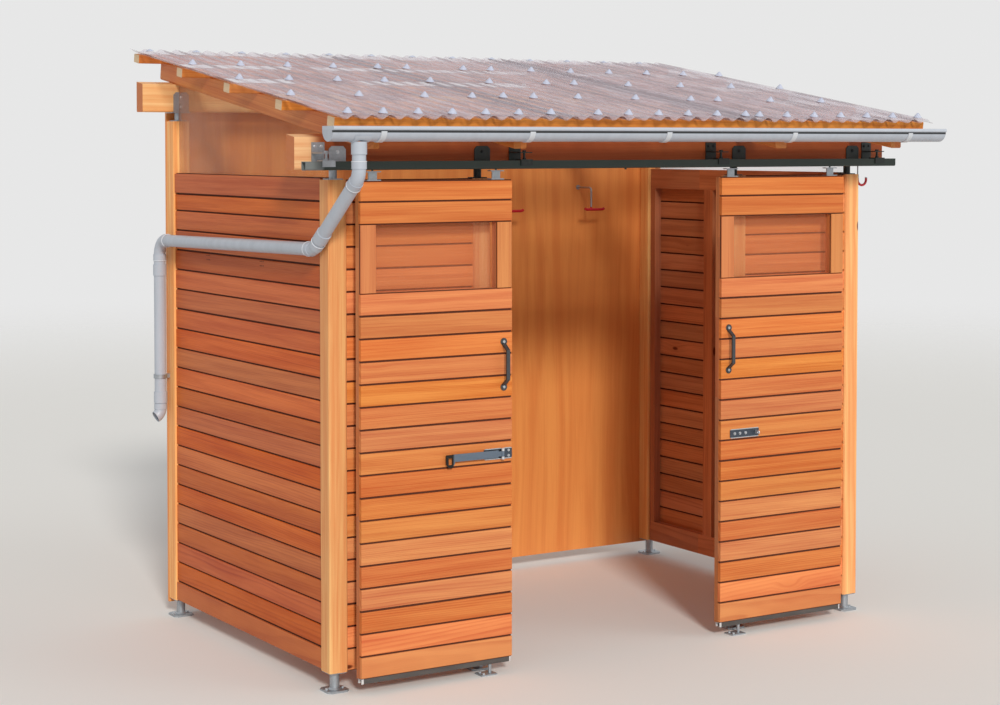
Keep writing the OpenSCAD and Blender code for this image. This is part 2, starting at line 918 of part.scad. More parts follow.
stop_l = 18;
stop_cut = 6;
stop_nub = 6;
stop_nub_d = 10;
outer_stop_x = left_open + hanger_inset - 46 - stop_l;
middle_stop_x = (width - stop_l) / 2;

// Blocks in the track that stop the hangers at both ends and in the middle
module track_stops() {
    w = track_w - 2 * track_wall - 2 * seat_gap;
    h = track_h - 2 * track_wall - 2 * seat_gap;
    c = stop_cut;
    foot = track_z + track_wall + seat_gap;
    color(dark_green) place() {
        for (x = [outer_stop_x, middle_stop_x, width - outer_stop_x - stop_l])
            along_x(x, stop_l)
                translate([track_y - w / 2, foot])
                    polygon([[c, 0], [w - c, 0], [w, c], [w, h], [0, h], [0, c]]);
        translate([width / 2, track_y, track_z - stop_nub])
            cylinder(h = foot - track_z + stop_nub + 1, d = stop_nub_d, $fn = 32);
    }
}

guide_plate = [74, 56, 6];
guide_pin_d = 14;
guide_xs = [jamb_left_x + 31, jamb_right_x - 10];
guide_clear = 5;

module floor_guides() {
    pin_top = door_bottom - 2 - guide_clear;
    color(zinc) place()
        for (x = guide_xs)
            translate([x, track_y, 0]) {
                translate([-guide_plate[0] + 20, -guide_plate[1] / 2, 0]) cube(guide_plate);
                cylinder(h = pin_top, d = guide_pin_d, $fn = 48);
            }
}

/* Bicycle hooks */

hook_rod_d = 10;
hook_sleeve_d = 14;
hook_reach = 120;
hook_bend = 18;
hook_drop = 111;
hook_washer = [24, 4];
hook_tip_bend = 24;
hook_tip_angle = 40;
hook_sleeve_from = -22;
hook_sleeve_to = 64;
hook_xs = [for (d = [-hook_outer, -hook_inner, hook_inner, hook_outer]) width / 2 + d];

// A rod out of the back wall that turns down to a sleeved hook, which lies along the wall
module bike_hook() {
    leg = hook_reach - hook_bend;
    rotate([90, 0, 0]) cylinder(h = hook_washer[1], d = hook_washer[0], $fn = 48);
    rotate([90, 0, 0]) cylinder(h = leg, d = hook_rod_d, $fn = 32);
    translate([0, -leg, -hook_bend]) rotate([90, 0, 90]) rotate([0, 0, 90])
        rotate_extrude(angle = 90, $fn = 48)
            translate([hook_bend, 0]) circle(d = hook_rod_d, $fn = 32);
    translate([0, -hook_reach, -hook_drop])
        cylinder(h = hook_drop - hook_bend, d = hook_rod_d, $fn = 32);
    translate([hook_sleeve_from, -hook_reach, -hook_drop]) rotate([0, 90, 0])
        cylinder(h = hook_sleeve_to - hook_sleeve_from, d = hook_sleeve_d, $fn = 32);
    translate([hook_sleeve_to, -hook_reach, -hook_drop]) hook_tip();
    translate([hook_sleeve_from, -hook_reach, -hook_drop]) mirror([1, 0, 0]) hook_tip();
}

// The end of a sleeve, which turns up a little
module hook_tip() {
    translate([0, 0, hook_tip_bend]) rotate([90, 0, 0]) rotate([0, 0, -90])
        rotate_extrude(angle = hook_tip_angle, $fn = 48)
            translate([hook_tip_bend, 0]) circle(d = hook_sleeve_d, $fn = 32);
}

module bike_hooks() {
    color(red) place() for (x = hook_xs) translate([x, depth, hook_z]) bike_hook();
}

outer_hook_past = 27.5;
outer_rod_d = 6;
outer_rod_l = 43;
outer_sleeve_d = 11;
outer_hook_r = 25.5;
outer_hook_drop = 67;
outer_tip_l = 11;

// A thin rod with a sleeved U under the right end of the front beam
module outer_hook() {
    color(red) place()
        translate([width + outer_hook_past, front_beam_y + beam_w / 2, front_beam_top - beam_h]) {
            translate([0, 0, -outer_rod_l - 1])
                cylinder(h = outer_rod_l + 1, d = outer_rod_d, $fn = 32);
            translate([0, 0, -outer_hook_drop])
                cylinder(h = outer_hook_drop - outer_rod_l, d = outer_sleeve_d, $fn = 32);
            translate([outer_hook_r, 0, -outer_hook_drop]) rotate([90, 0, 0]) rotate([0, 0, 180])
                rotate_extrude(angle = 180, $fn = 96)
                    translate([outer_hook_r, 0]) circle(d = outer_sleeve_d, $fn = 32);
            translate([2 * outer_hook_r, 0, -outer_hook_drop])
                cylinder(h = outer_tip_l, d = outer_sleeve_d, $fn = 32);
        }
}

/* Doors */

// Outline of the door boards seen from the front, with the window open
module door_face(t, y) {
    translate([0, y, 0])
        difference() {
            along_x(0, door_w) board_outline(door_bottom, door_top, board_pitch, t, 0, 0);
            translate([stile_w, -t, window_bottom])
                cube([door_w - 2 * stile_w, 3 * t, window_top - window_bottom]);
        }
}

module door_stile_fill() {
    for (x = [0, door_w - stile_w])
        translate([x, -door_y, window_bottom])
            cube([stile_w, door_board_t, window_top - window_bottom]);
}

module door_boards(x) {
    translate([x, 0, 0]) {
        door_face(door_board_t, -door_y);
        door_stile_fill();
    }
}

door_rail_h = 80;

// Frame behind the boards: two uprights, a head above the window, a sill, and rails under
// the window and behind the handle
module door_frame(x) {
    y = -door_y + door_board_t;
    h = door_h;
    translate([x, y, door_bottom])
        difference() {
            cube([door_w, door_frame_t, h]);
            translate([stile_w, -1, door_rail_h])
                cube([door_w - 2 * stile_w, door_frame_t + 2, handle_z - door_bottom - 1.5 * door_rail_h]);
            translate([stile_w, -1, handle_z - door_bottom + door_rail_h / 2])
                cube([door_w - 2 * stile_w, door_frame_t + 2,
                    window_bottom - handle_z - 1.5 * door_rail_h]);
            translate([stile_w, -1, window_bottom - door_bottom])
                cube([door_w - 2 * stile_w, door_frame_t + 2, window_top - window_bottom]);
        }
}

module door_pane(x) {
    g = seat_gap;
    translate([x + stile_w + g, door_back - door_pane_t - 6, window_bottom + g])
        cube([door_w - 2 * stile_w - 2 * g, door_pane_t, window_top - window_bottom - 2 * g]);
}

module door_channel(x) {
    end_gap = 3;
    wall = 2;
    along_x(x + end_gap, door_w - 2 * end_gap)
        translate([track_y, door_bottom - channel_h])
            difference() {
                translate([-channel_w / 2, 0]) square([channel_w, channel_h]);
                translate([-channel_w / 2 + wall, -1]) square([channel_w - 2 * wall, channel_h - wall + 1]);
            }
}

roller_d = 22;
roller_w = 19;
roller_step = 30;
hanger_bolt_d = 8;
hanger_base = [60, 30, 4];
hanger_web = [38, 5];
hanger_flange = [64, 24, 4];
hanger_clear = 5;

// A block of a size, in the middle of X and Y, that stands on a height
module block_on(z, size) {
    translate([-size[0] / 2, -size[1] / 2, z]) cube(size);
}

// Carriage with two rollers in the track, a bolt through the slot, a flange below the track
// and a plate on the door
module door_hanger() {
    axle_z = track_z + track_wall + seat_gap + roller_d / 2;
    flange_z = track_z - hanger_clear - hanger_flange[2];
    block_on(door_top, hanger_base);
    block_on(door_top, [hanger_web[0], hanger_web[1], flange_z - door_top + 1]);
    block_on(flange_z, hanger_flange);
    translate([0, 0, flange_z]) cylinder(h = axle_z - flange_z, d = hanger_bolt_d, $fn = 32);
    for (s = [-1, 1])
        translate([s * roller_step / 2, roller_w / 2, axle_z]) rotate([90, 0, 0])
            cylinder(h = roller_w, d = roller_d, $fn = 48);
    block_on(axle_z - 4, [roller_step, 8, 8]);
}

module door_hangers(x) {
    for (hx = [x + hanger_inset, x + door_w - hanger_inset])
        translate([hx, track_y, 0]) door_hanger();
}

handle_bar = [16, 7];
handle_reach = 38;
handle_grip = 120;
handle_foot = 26;
handle_foot_t = 4;
handle_disc = [30, 3];
handle_inset = 40;

// Bow handle of flat bar: a straight grip, two slanted legs and two feet on screwed discs
module door_handle(x) {
    half = handle_l / 2;
    grip = handle_grip / 2;
    inner = half - handle_foot;
    t = handle_bar[1];
    f = handle_foot_t;
    r = handle_reach;
    translate([x, -door_y, handle_z]) {
        along_x(-handle_bar[0] / 2, handle_bar[0])
            polygon([
                [0, half], [-f, half], [-f, inner + t], [-r, grip], [-r, -grip],
                [-f, -inner - t], [-f, -half], [0, -half], [0, -inner],
                [t - r, t / 2 - grip], [t - r, grip - t / 2], [0, inner]
            ]);
        for (z = [handle_foot / 2 - half, half - handle_foot / 2])
            translate([0, 0, z]) rotate([90, 0, 0])
                cylinder(h = handle_disc[1], d = handle_disc[0], $fn = 48);
    }
}

module left_door_boards() {
    color(timber) place() door_boards(left_open);
}

module left_door_frame() {
    color(timber_light) place() door_frame(left_open);
}

module left_door_pane() {
    color(clear, 0.35) place() door_pane(left_open);
}

module left_door_channel() {
    color(zinc) place() door_channel(left_open);
}

module left_door_hangers() {
    color(zinc) place() door_hangers(left_open);
}

module left_door_handle() {
    color(zinc) place() door_handle(left_open + door_w - handle_inset);
}

module right_door_boards() {
    color(timber) place() door_boards(right_open);
}

module right_door_frame() {
    color(timber_light) place() door_frame(right_open);
}

module right_door_pane() {
    color(clear, 0.35) place() door_pane(right_open);
}

module right_door_channel() {
    color(zinc) place() door_channel(right_open);
}

module right_door_hangers() {
    color(zinc) place() door_hangers(right_open);
}

module right_door_handle() {
    color(zinc) place() door_handle(right_open + handle_inset);
}

/* Lock: a bar on an upright pin, folded back, and a lug on the other door */

lock_pin_inset = 52;
lock_pin_out = 14;
lock_pin_d = 6;
lock_barrel_d = 14;
lock_leaf = [133, 3, 45];
lock_leaf_x = -83;
lock_leaf_rim = [1.5, 4];
lock_plate_cut = 5;
lock_bar_t = 4;
lock_bar_h = 30;
lock_foot = [40, 52];
lock_foot_tip = 18;
lock_foot_taper = 16;
lock_foot_drop = 12;
lock_slot = [18, 28];
lock_lug = [6, 16];
lug_hole_d = 8;
lug_plate = [160, 3, 40];
lug_plate_end = 20;
pin_play = 0.3;
pin_x = left_open + door_w - lock_pin_inset;
pin_y = -door_y - lock_pin_out;
lug_x = width / 2 - doors_gap / 2 - lock_pin_inset + lock_l + right_open - (width + doors_gap) / 2;

// Plate of the lock, with cut corners, whose back is against the door
module lock_plate(x, z, size) {
    translate([x, 0, z]) rotate([90, 0, 0]) linear_extrude(size[1])
        chamfered(size[0], size[2], lock_plate_cut);
}

// Leaf with a raised rim at its upper and lower edge, and the knuckles for the pin
module left_door_hasp() {
    h = lock_leaf[2];
    knuckle = h / 4;
    rim = lock_leaf[1] + lock_leaf_rim[0];
    rim_x = lock_leaf_x + lock_plate_cut;
    color(zinc) place()
        translate([pin_x, pin_y, lock_z - h / 2]) {
            translate([0, lock_pin_out, 0]) {
                lock_plate(lock_leaf_x, 0, lock_leaf);
                for (z = [0, h - lock_leaf_rim[1]])
                    translate([rim_x, -rim, z])
                        cube([lock_leaf[0] - 2 * lock_plate_cut, rim, lock_leaf_rim[1]]);
            }
            cylinder(h = h, d = lock_pin_d, $fn = 32);
            for (z = [0, h - knuckle]) translate([0, 0, z]) {
                cylinder(h = knuckle, d = lock_barrel_d, $fn = 48);
                translate([-lock_barrel_d / 2, 0, 0])
                    cube([lock_barrel_d, lock_pin_out - 1, knuckle]);
            }
        }
}

// Outline of the foot of the bar: a shield with a slot for the lug
module lock_shield() {
    w = lock_foot[0] / 2;
    h = lock_foot[1] / 2;
    difference() {
        polygon([
            [-w, h], [w, h], [w, lock_foot_taper - h], [lock_foot_tip / 2, -h],
            [-lock_foot_tip / 2, -h], [-w, lock_foot_taper - h]
        ]);
        translate([-lock_slot[0] / 2, -lock_slot[1] / 2]) square(lock_slot);
    }
}

module locking_bar() {
    barrel = lock_leaf[2] / 2 - 2;
    neck = 22;
    t = lock_bar_t;
    color(zinc) place()
        translate([pin_x, pin_y, lock_z])
            difference() {
                union() {
                    translate([0, 0, -barrel / 2])
                        cylinder(h = barrel, d = lock_barrel_d, $fn = 48);
                    translate([-neck - 1, -t / 2, -barrel / 2]) cube([neck + 1, t, barrel]);
                    translate([-lock_l + lock_slot[0] / 2, -t / 2, -lock_bar_h / 2])
                        cube([lock_l - neck - lock_slot[0] / 2, t, lock_bar_h]);
                    translate([-lock_l, t / 2, -lock_foot_drop]) rotate([90, 0, 0])
                        linear_extrude(t) lock_shield();
                }
                translate([0, 0, -barrel])
                    cylinder(h = 2 * barrel, d = lock_pin_d + 2 * pin_play, $fn = 32);
            }
}

// Plate on the right door with the lug that passes through the slot of the bar
module right_door_staple() {
    hole_out = lock_pin_out + lock_bar_t / 2 + 7;
    r = lock_lug[1] / 2;
    color(zinc) place()
        translate([lug_x, -door_y, lock_z - lock_foot_drop]) {
            lock_plate(lug_plate_end - lug_plate[0], -lug_plate[2] / 2, lug_plate);
            along_x(-lock_lug[0] / 2, lock_lug[0])
                difference() {
                    union() {
                        translate([-hole_out, -r]) square([hole_out, 2 * r]);
                        translate([-hole_out, 0]) circle(r, $fn = 48);
                    }
                    translate([-hole_out, 0]) circle(d = lug_hole_d, $fn = 32);
                }
        }
}

post_front_left();
post_front_right();
post_rear_left();
post_rear_right();
post_jamb_left();
post_jamb_right();
post_feet();
head_brackets();
beam_front();
beam_rear();
rafters();
purlins();
roof_sheets();
side_boards_left();
side_boards_right();
front_boards_left();
front_boards_right();
battens();
side_panes();
back_panels();
gutter();
gutter_caps();
gutter_brackets();
gutter_outlet();
pipe_drop();
pipe_run();
pipe_down();
pipe_shoe();
pipe_clip();
track();
track_brackets();
track_stops();
floor_guides();
bike_hooks();
outer_hook();
left_door_boards();
left_door_frame();
left_door_pane();
left_door_channel();
left_door_hangers();
left_door_handle();
left_door_hasp();
locking_bar();
right_door_boards();
right_door_frame();
right_door_pane();
right_door_channel();
right_door_hangers();
right_door_handle();
right_door_staple();
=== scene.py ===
"""Timber bike shelter with two sliding doors: its boards, roof, fittings and finishes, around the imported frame."""

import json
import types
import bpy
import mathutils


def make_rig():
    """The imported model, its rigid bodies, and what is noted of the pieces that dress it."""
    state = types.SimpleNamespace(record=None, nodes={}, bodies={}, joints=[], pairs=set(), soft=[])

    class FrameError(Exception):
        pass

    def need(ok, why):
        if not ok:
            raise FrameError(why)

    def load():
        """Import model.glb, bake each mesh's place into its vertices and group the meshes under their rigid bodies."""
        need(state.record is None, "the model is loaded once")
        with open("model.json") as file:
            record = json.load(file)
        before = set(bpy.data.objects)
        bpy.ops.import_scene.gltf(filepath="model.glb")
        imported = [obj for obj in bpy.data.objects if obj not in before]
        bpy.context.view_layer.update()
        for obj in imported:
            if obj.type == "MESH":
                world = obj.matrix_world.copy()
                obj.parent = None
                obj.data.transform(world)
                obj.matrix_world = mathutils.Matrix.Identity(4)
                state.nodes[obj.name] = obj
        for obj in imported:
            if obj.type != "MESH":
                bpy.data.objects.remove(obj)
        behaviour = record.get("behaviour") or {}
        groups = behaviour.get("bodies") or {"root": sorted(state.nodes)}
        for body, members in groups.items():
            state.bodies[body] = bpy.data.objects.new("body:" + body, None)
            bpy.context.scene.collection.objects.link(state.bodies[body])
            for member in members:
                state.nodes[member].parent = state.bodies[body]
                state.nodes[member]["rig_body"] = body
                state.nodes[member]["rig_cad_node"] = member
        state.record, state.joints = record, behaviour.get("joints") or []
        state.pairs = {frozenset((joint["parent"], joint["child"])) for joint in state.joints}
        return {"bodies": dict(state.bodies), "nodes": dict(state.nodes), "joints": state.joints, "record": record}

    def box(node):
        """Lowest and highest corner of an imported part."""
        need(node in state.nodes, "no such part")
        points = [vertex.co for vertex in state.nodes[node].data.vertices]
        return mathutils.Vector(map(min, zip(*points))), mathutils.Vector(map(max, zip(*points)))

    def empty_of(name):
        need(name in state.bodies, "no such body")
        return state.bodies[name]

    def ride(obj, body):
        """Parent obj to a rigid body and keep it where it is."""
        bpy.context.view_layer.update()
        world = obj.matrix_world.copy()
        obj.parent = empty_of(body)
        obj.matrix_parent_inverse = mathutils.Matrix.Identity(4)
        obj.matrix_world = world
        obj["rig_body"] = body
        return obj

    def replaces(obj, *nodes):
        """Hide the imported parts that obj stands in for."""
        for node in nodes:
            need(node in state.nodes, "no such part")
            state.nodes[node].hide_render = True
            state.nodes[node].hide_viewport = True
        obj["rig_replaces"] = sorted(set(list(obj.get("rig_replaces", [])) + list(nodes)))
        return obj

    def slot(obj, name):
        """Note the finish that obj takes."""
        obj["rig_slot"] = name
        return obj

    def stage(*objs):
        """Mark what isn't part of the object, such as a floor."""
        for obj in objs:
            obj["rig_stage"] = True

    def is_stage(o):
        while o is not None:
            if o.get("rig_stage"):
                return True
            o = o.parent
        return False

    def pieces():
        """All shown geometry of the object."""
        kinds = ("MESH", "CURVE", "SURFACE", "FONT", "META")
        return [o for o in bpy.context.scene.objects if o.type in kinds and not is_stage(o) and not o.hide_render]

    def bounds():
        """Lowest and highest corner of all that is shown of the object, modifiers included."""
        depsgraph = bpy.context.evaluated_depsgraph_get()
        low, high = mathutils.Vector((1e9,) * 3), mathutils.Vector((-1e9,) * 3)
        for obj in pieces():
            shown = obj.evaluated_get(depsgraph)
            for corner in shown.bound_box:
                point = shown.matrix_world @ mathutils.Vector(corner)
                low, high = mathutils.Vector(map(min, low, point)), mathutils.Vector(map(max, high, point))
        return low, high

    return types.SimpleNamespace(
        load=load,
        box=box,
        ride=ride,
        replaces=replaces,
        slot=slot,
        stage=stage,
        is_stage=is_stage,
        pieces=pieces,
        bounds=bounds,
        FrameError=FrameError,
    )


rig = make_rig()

bl_info = {
    "name": "Bike shelter",
    "version": (1, 0, 0),
    "blender": (4, 5, 0),
    "location": "3D View > Sidebar > Shelter",
    "description": "Builds the boards, roof sheets, caps, screws and finishes of a timber bike shelter",
    "category": "Object",
}

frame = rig.load()

import json
import math
from itertools import product

import bmesh
import bpy
from bpy.props import FloatProperty, FloatVectorProperty, IntProperty, PointerProperty
from mathutils import Euler, Vector

CAD_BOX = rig.bounds()
SIZE_FILE = "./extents.json"
POST_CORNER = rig.box("post_front_left")[0]
ORIGIN = Vector((POST_CORNER.x, POST_CORNER.y, 0))
ROOF_SLOPE = math.radians(9)
UP_ROOF = Vector((0, math.cos(ROOF_SLOPE), math.sin(ROOF_SLOPE)))
OFF_ROOF = Vector((0, -math.sin(ROOF_SLOPE), math.cos(ROOF_SLOPE)))
YEAR_RING = 0.0042
BACK_PANEL = 0.91
SIDES = "left", "right"
UP, AHEAD, OUT_LEFT = (0, 0, 1), (0, -1, 0), (-1, 0, 0)


def srgb(red, green, blue):
    """A colour written as 0 to 255, as the linear values that the shaders take."""
    def linear(level):
        level /= 255
        return level / 12.92 if level <= 0.04045 else ((level + 0.055) / 1.055) ** 2.4
    return linear(red), linear(green), linear(blue)


def at(x, y, z):
    """A point counted from the left front post's outer corner on the floor, in metres."""
    return ORIGIN + Vector((x, y, z))


def scaled(colour, factor):
    """A colour made darker or lighter."""
    return tuple(min(1.0, part * factor) for part in colour)


# ---------------------------------------------------------------- sizes and colours

def length(name, description, metres):
    """A setting that holds a length."""
    return FloatProperty(name=name, description=description, default=metres, unit="LENGTH")


def tint(name, description, *levels):
    """A setting that holds a colour."""
    return FloatVectorProperty(name=name, description=description, default=srgb(*levels), subtype="COLOR")


class BoardSizes(bpy.types.PropertyGroup):
    pitch: length("Board pitch", "Height from one board to the next", 0.0888)
    front_pitch: length("Front board pitch", "Height from one front board to the next", 0.088)
    joint: length("Joint", "Open joint between two boards", 0.0075)
    rounding: length("Rounding", "Radius of the boards' long edges", 0.003)
    sway: length("Sway", "How far a board may stand off its line", 0.0005)
    tongue: length("Tongue", "Thickness of the tongue that closes each joint", 0.005)
    seed: IntProperty(name="Seed", description="Picks the set of boards", default=7)


class RoofSizes(bpy.types.PropertyGroup):
    wave: length("Wave pitch", "Width of one wave of the sheet", 0.076)
    height: length("Wave height", "Height of one wave", 0.018)
    thickness: length("Thickness", "Thickness of the sheet", 0.002)
    sheet: length("Sheet width", "Width of one sheet", 1.095)
    cap_radius: length("Cap radius", "Radius of a screw cap's foot", 0.0195)
    cap_height: length("Cap height", "Height of a screw cap", 0.020)


class TimberColours(bpy.types.PropertyGroup):
    board_light: tint("Door board, light", "Early wood of the door boards", 230, 146, 80)
    board_dark: tint("Door board, dark", "Late wood of the door boards", 194, 94, 42)
    # The front boards' colours are lighter as painted light: the strip beside the doorway stands lit.
    front_light: tint("Front board, light", "Early wood beside the doorway", 250, 160, 92)
    front_dark: tint("Front board, dark", "Late wood beside the doorway", 216, 110, 54)
    wall_light: tint("Left wall, light", "Early wood of the left wall", 220, 116, 40)
    wall_dark: tint("Left wall, dark", "Late wood of the left wall", 178, 72, 18)
    inner_light: tint("Right wall, light", "Early wood of the right wall and battens", 208, 134, 84)
    inner_dark: tint("Right wall, dark", "Late wood of the right wall and battens", 160, 90, 52)
    post_light: tint("Post, light", "Early wood of the posts", 255, 204, 130)
    post_dark: tint("Post, dark", "Late wood of the posts", 234, 154, 86)
    beam_light: tint("Beam, light", "Early wood of the two beams", 252, 208, 148)
    beam_dark: tint("Beam, dark", "Late wood of the two beams", 228, 150, 84)
    rafter_light: tint("Rafter, light", "Early wood of rafters and purlins", 236, 152, 72)
    rafter_dark: tint("Rafter, dark", "Late wood of rafters and purlins", 196, 98, 38)
    panel_light: tint("Back wall, light", "Light veneer of the back wall", 240, 158, 84)
    panel_dark: tint("Back wall, dark", "Dark veneer of the back wall", 216, 120, 56)
    knot: tint("Knot", "Colour of the knots", 108, 46, 18)
    purlin_end: tint("Purlin end", "Sawn ends of the purlins", 226, 196, 158)
    # The beam ends are darker partly as painted shade: they face away from the light.
    beam_end: tint("Beam end", "Sawn ends of the beams", 206, 122, 70)

    def pair(self, kind):
        """The light and the dark colour of one kind of timber."""
        return tuple(getattr(self, f"{kind}_light")), tuple(getattr(self, f"{kind}_dark"))


class FittingColours(bpy.types.PropertyGroup):
    zinc: tint("Zinc", "Galvanised steel", 176, 182, 188)
    steel: tint("Bright steel", "Screw heads", 205, 208, 212)
    green: tint("Track green", "Paint of the door track", 34, 50, 44)
    grey: tint("Gutter grey", "Plastic of gutter and pipe", 180, 187, 198)
    clear: tint("Clear sheet", "Tint of the roof sheets", 226, 218, 230)
    red: tint("Hook red", "Sleeve of the bike hooks", 196, 24, 40)


class StageSettings(bpy.types.PropertyGroup):
    key: FloatProperty(name="Key lamp", description="Strength of the large soft lamp", default=2.1)
    fill: FloatProperty(name="Room light", description="Strength of the even light", default=0.42)
    floor: tint("Floor", "Colour of the floor", 240, 240, 238)


# ---------------------------------------------------------------- node trees

class Value:
    """One output of a node tree; sums on it add Math nodes."""

    def __init__(self, nodes, socket):
        self.nodes, self.socket = nodes, socket

    def sum(self, operation, *others):
        return self.nodes.math(operation, self, *others)

    def __add__(self, other):
        return self.sum("ADD", other)

    def __sub__(self, other):
        return self.sum("SUBTRACT", other)

    def __rsub__(self, other):
        return self.nodes.math("SUBTRACT", other, self)

    def __mul__(self, other):
        return self.sum("MULTIPLY", other)

    def __truediv__(self, other):
        return self.sum("DIVIDE", other)

    def __gt__(self, other):
        return self.sum("GREATER_THAN", other)

    def __lt__(self, other):
        return self.sum("LESS_THAN", other)

    __radd__ = __add__
    __rmul__ = __mul__

    def size(self):
        return self.sum("ABSOLUTE")

    def capped(self):
        """This value, kept between 0 and 1."""
        return self.nodes.math("MULTIPLY", self, 1.0, use_clamp=True)

    def ramp(self, low, high):
        """0 where this value is at low, 1 where it is at high, smooth between them."""
        return self.nodes.add("ShaderNodeMapRange", {"interpolation_type": "SMOOTHSTEP"},
                              Value=self, From_Min=low, From_Max=high, To_Min=0.0, To_Max=1.0)["Result"]


class Made:
    """A node that has been added; its outputs are read by name."""

    def __init__(self, nodes, node):
        self.nodes, self.node = nodes, node

    def __getitem__(self, name):
        for socket in self.node.outputs:
            if socket.enabled and name in (socket.name, socket.identifier):
                return Value(self.nodes, socket)
        raise KeyError(f"{self.node.bl_idname} has no output {name}")


class Nodes:
    """A node tree that is being filled, for a finish or for a shape."""

    def __init__(self, tree):
        self.tree = tree

    def add(self, kind, settings=None, /, *parts, **values):
        """One node: its type, its settings, what its first sockets take, and what named sockets take."""
        node = self.tree.nodes.new(kind)
        for name, setting in (settings or {}).items():
            setattr(node, name, setting)
        for socket, part in zip(node.inputs, parts):
            self.feed(socket, part)
        self.feed_named(node, values)
        return Made(self, node)

    def feed_named(self, node, values):
        """Feeds sockets that are named with _ for a space."""
        for name, value in values.items():
            names = name, name.replace("_", " ")
            found = [s for s in node.inputs if s.enabled and (s.identifier in names or s.name in names)]
            if not found:
                raise KeyError(f"{node.bl_idname} has no input {name}")
            self.feed(found[0], value)

    def feed(self, socket, value):
        """Links outputs to a socket, or gives it a plain value."""
        for part in value if isinstance(value, list) else [value]:
            if isinstance(part, Value):
                self.tree.links.new(part.socket, socket)
            elif socket.type == "RGBA" and len(part) == 3:
                socket.default_value = (*part, 1)
            else:
                socket.default_value = part

    def math(self, operation, *parts, **settings):
        return self.add("ShaderNodeMath", {"operation": operation, **settings}, *parts)["Value"]

    def vector(self, *parts):
        return self.add("ShaderNodeCombineXYZ", None, *parts)["Vector"]

    def split(self, vector):
        parts = self.add("ShaderNodeSeparateXYZ", None, vector)
        return parts["X"], parts["Y"], parts["Z"]

    def blend(self, share, first, second, kind="MIX"):
        """Two colours mixed by a share."""
        return self.add("ShaderNodeMix", {"data_type": "RGBA", "blend_type": kind},
                        Factor_Float=share, A_Color=first, B_Color=second)["Result_Color"]

    def noise(self, vector, scale=1.0, detail=2.0, roughness=0.5):
        return self.add("ShaderNodeTexNoise", {"noise_dimensions": "3D"},
                        Vector=vector, Scale=scale, Detail=detail, Roughness=roughness)["Fac"]

    def red_of(self, colour):
        """The red part of a colour, as a level by chance for each cell of a pattern."""
        return self.add("ShaderNodeSeparateColor", None, colour)["Red"]


class Finish(Nodes):
    """A material with one Principled shader."""

    def __init__(self, name):
        self.material = bpy.data.materials.new(name)
        self.material.use_nodes = True
        super().__init__(self.material.node_tree)
        self.shader = self.tree.nodes["Principled BSDF"]
        self.coordinates = self.add("ShaderNodeTexCoord")
        self.position = self.coordinates["Object"]

    def surface(self, **values):
        """Sets the shader's sockets."""
        self.feed_named(self.shader, values)

    def relief(self, height, distance):
        """Ends the finish with a bump of this height map."""
        self.surface(Normal=self.add("ShaderNodeBump", Height=height, Distance=distance)["Normal"])
        return self.material

    def flakes(self):
        """The spangle of hot-dip zinc, a level for each flake."""
        cells = self.add("ShaderNodeTexVoronoi", {"feature": "F1"}, Vector=self.position, Scale=130.0)
        return self.red_of(cells["Color"])


class Shape(Nodes):
    """A geometry tree with named inputs and one geometry output."""

    def __init__(self, name, **inputs):
        super().__init__(bpy.data.node_groups.new(name, "GeometryNodeTree"))
        self.sockets = {}
        for label, (kind, default) in inputs.items():
            socket = self.tree.interface.new_socket(label.replace("_", " "), in_out="INPUT",
                                                    socket_type="NodeSocket" + kind)
            if default is not None:
                socket.default_value = default
            self.sockets[label] = socket.identifier
        self.tree.interface.new_socket("Geometry", in_out="OUTPUT", socket_type="NodeSocketGeometry")
        self.given = self.add("NodeGroupInput")

    def read(self, label):
        return self.given[self.sockets[label]]

    def shape(self, kind, settings=None, /, **values):
        """The first output of a geometry node."""
        return Value(self, self.add("GeometryNode" + kind, settings, **values).node.outputs[0])

    def result(self, geometry):
        """Ends the tree."""
        self.add("NodeGroupOutput", Geometry=geometry)
        return self

    def coated(self, geometry):
        """Ends the tree with this geometry in the finish that it is given."""
        return self.result(self.shape("SetMaterial", Geometry=geometry, Material=self.read("Finish")))

    def spread(self, instance, **values):
        """Ends the tree with a coated copy of a shape at each place."""
        copies = self.shape("InstanceOnPoints", Points=self.read("Places"), Instance=instance, **values)
        return self.coated(self.shape("RealizeInstances", Geometry=copies))

    def layer(self, kind, name):
        """What each place carries under this name."""
        return self.add("GeometryNodeInputNamedAttribute", {"data_type": kind}, Name=name)["Attribute"]

    def facing(self):
        """The turn that points a copy's Z where its place faces."""
        return self.add("FunctionNodeAlignRotationToVector", {"axis": "Z"},
                        Vector=self.layer("FLOAT_VECTOR", "facing"))["Rotation"]

    def mesh(self, name, points=None, **values):
        """The plain mesh that this tree makes with these inputs."""
        holder = bpy.data.objects.new(name, points or bpy.data.meshes.new(name))
        bpy.context.scene.collection.objects.link(holder)
        modifier = holder.modifiers.new(name, "NODES")
        modifier.node_group = self.tree
        for label, value in values.items():
            modifier[self.sockets[label]] = value
        graph = bpy.context.evaluated_depsgraph_get()
        made = bpy.data.meshes.new_from_object(holder.evaluated_get(graph), depsgraph=graph)
        holder.modifiers.remove(modifier)
        bpy.data.objects.remove(holder)
        made.name = name
        return made


def places(name, spots, layer, kind, field, values):
    """A mesh of bare points that each carry a value or a direction."""
    points = bpy.data.meshes.new(f"{name}_places")
    points.from_pydata(spots, [], [])
    points.attributes.new(layer, kind, "POINT").data.foreach_set(field, values)
    return points


def facing_places(name, spots, ways):
    """Points counted from the post's corner, each with the direction that it faces."""
    return places(name, [at(*spot) for spot in spots], "facing", "FLOAT_VECTOR", "vector",
                  [part for way in ways for part in way])


